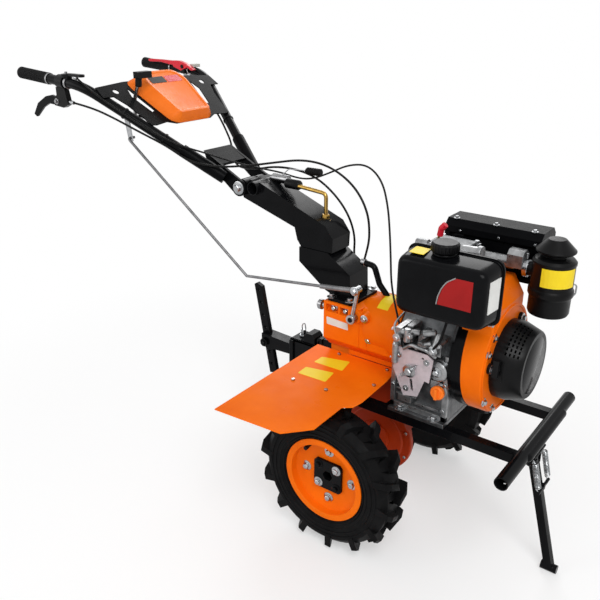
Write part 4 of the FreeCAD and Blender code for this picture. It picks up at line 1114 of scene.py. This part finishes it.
def tubes():
    soften("handlebar_yoke", 1.4, "black_sheet")
    soften("console_bracket", 0.9, "black_sheet")
    console_cover()
    for side, hand in SIDES:
        points = [handed(point, hand) for point in (SOCKET, BEND, GRIP_END)]
        tube = Shape().swept(rounded(points, 170, steps=16), TUBE_R, 32)
        piece("tube_" + side, tube, "black_paint", 0, "handle_tube_" + side)
        along = (points[2] - points[1]).normalized()
        inner = points[2] - along * GRIP_LONG
        profile = [(BORE_R, 0), (17, 0), (17, 3)]
        for ridge in range(GRIP_RIDGES):
            profile += [(15.6, 5.4 + 6 * ridge), (16.8, 7.6 + 6 * ridge)]
        profile += [(17, 126), (17, 131), (14, 133.5)]
        grip = Shape().turned(profile, inner, along, 36)
        piece("handle_grip_" + side, grip, "black_rubber", 0, "grip_" + side)
        collar = Shape().turned([(BORE_R, -6), (16.4, -6), (16.4, 0), (BORE_R, 0)], inner, along, 32, True)
        piece("grip_ring_" + side, collar, "chrome", 0.5, body="handlebar")
    ties = Shape()
    for along, hand in TIES:
        start, end = handed(SOCKET, hand), handed(BEND, hand)
        place = start.lerp(end, along / (BEND - SOCKET).length)
        ties.turned([(14.3, -2.5), (16.2, -2.5), (16.2, 2.5), (14.3, 2.5)], place, end - start, 32, True)
    piece("cable_ties", ties, "black_plastic", 0.5, body="handlebar")


def gear_hand_lever():
    lever = Shape().swept(rounded([(-794, -127, 1008), (-790, -127, 1062), (-770, -127, 1104)], 50), 5.5, 16)
    lever.rod((-794, -163, 1008), (-794, -91, 1008), 7)
    piece("gear_rod", lever, "chrome", body="handlebar")
    plate = Shape().plate("y", [(-804, 1017), (-784, 1017), (-774, 948), (-791, 948)], -162, -158)
    piece("gear_plate", plate, "zinc_steel", 0.6, body="handlebar")
    knob = Shape().rod((-770, -127, 1096), (-766, -127, 1122), 9.5, 24, 2)
    knob.box(-775, -751, -139, -90, 1119, 1137)
    piece("gear_knob", knob, "black_plastic", 3.6, body="handlebar")


def right_controls():
    back = (GRIP_END - BEND).normalized()
    y = RIGHT_Y
    near = handed(BEND, -1) + back * 72
    clamp = Shape().tube(near, near + back * 30, 19, BORE_R)
    outline = [(-984, 1092), (-944, 1090), (-934, 1046), (-958, 1036), (-998, 1040), (-996, 1062),
               (-984, 1070)]
    clamp.plate("y", outline, y - 8, y + 8)
    clamp.box(-950, -924, y - 9, y + 9, 1108, 1122).rod((-938, y, 1120), (-938, y, 1130), 15, 32)
    piece("lever_body_right", clamp, "black_plastic", 1.6, body="handlebar")
    outline = [(-990, 1062), (-990, 1040), (-1030, 1042), (-1062, 1028), (-1100, 998), (-1112, 1006),
               (-1086, 1040), (-1044, 1062), (-1012, 1068)]
    blade = Shape().plate("y", outline, y - LEVER_HALF, y + LEVER_HALF)
    piece("lever_blade_right", blade, "black_paint", 2.4, body="handlebar")
    outline = [(-930, y - 7), (-930, y + 7), (-866, y + 9), (-862, y), (-866, y - 9)]
    thumb = Shape().plate("z", outline, 1124, 1132)
    piece("throttle_thumb", thumb, "black_plastic", 2.0, body="handlebar")
    screws = Shape().bolt((-986, y - 8, 1052), RIGHT, 9).bolt((-938, y, 1130), UP, 8)
    first = near - back * 14
    screws.tube(first, first + back * 7, 17, BORE_R)
    piece("control_screws", screws, "chrome", 0.4, body="handlebar")
    ferrules = Shape().rod((-934, y, 1053), (-917, y, 1052), 5.5)
    ferrules.rod((-902, -243, 1124), (-887, -243, 1121), 5)
    piece("cable_ferrules_right", ferrules, "zinc_steel", 0.5, body="handlebar")


def left_controls():
    """The engine stop lever is drawn pressed down beside its grip."""
    back = (GRIP_END - BEND).normalized()
    y = LEFT_Y
    near = BEND + back * 66
    clamp = Shape().tube(near, near + back * 16, 19, BORE_R)
    clamp.bolt(near + back * 8 + Vector((0, -16, 8)), (0, -1, 0.6), 9)
    outline = [(-918, 1118), (-898, 1108), (-889, 1112), (-922, 1130), (-952, 1137), (-984, 1137),
               (-982, 1118), (-946, 1106)]
    body = Shape().plate("y", outline, y - 9, y + 7)
    post = Shape().box(-946, -930, y - 8, y + 10, 1098, 1126)
    post.rod((-938, y - 12, 1120), (-938, y + 8, 1120), 6)
    blade = Shape().plate("y", [(-962, 1136), (-952, 1122), (-1000, 1124), (-1040, 1130), (-1094, 1129),
                                (-1102, 1133), (-1098, 1138), (-1040, 1138)], y - 8, y + 2)
    ferrule = Shape().rod((-916, 214, 1097), (-903, 214, 1093), 5)
    ferrule.swept([(-912, 214, 1096), (-926, 218, 1112)], 2, 8)
    switch = Shape().box(-918, -900, 226, 256, 1118, 1128)
    for name, shape, colour, soft in (
            ("lever_clamp_left", clamp, "chrome", 0.5), ("lever_body_left", body, "red_plastic", 2.0),
            ("lever_post_left", post, "black_plastic", 1.2), ("lever_blade_left", blade, "red_plastic", 2.0),
            ("cable_ferrule_left", ferrule, "chrome", 0.4), ("switch_left", switch, "pale_plastic", 1.5)):
        piece(name, shape, colour, soft, body="handlebar")


def dress_nodes():
    """Each CAD node takes the finish of its own slot."""
    for node, colour in FINISH.items():
        materials = NODES[node].data.materials
        materials.clear()
        materials.append(MATERIALS[colour])


bpy.context.scene.view_settings.view_transform = "Standard"
for make in (make_camera, make_lights, make_world, make_floor, make_materials, dress_nodes, make_cables,
             wheels, gearbox, gear_lever, seat, hitch, fenders, chassis, crankcase, control_plate, cylinder,
             shroud, starter, tank, muffler, air_cleaner, column, tubes, gear_hand_lever, right_controls,
             left_controls):
    make()
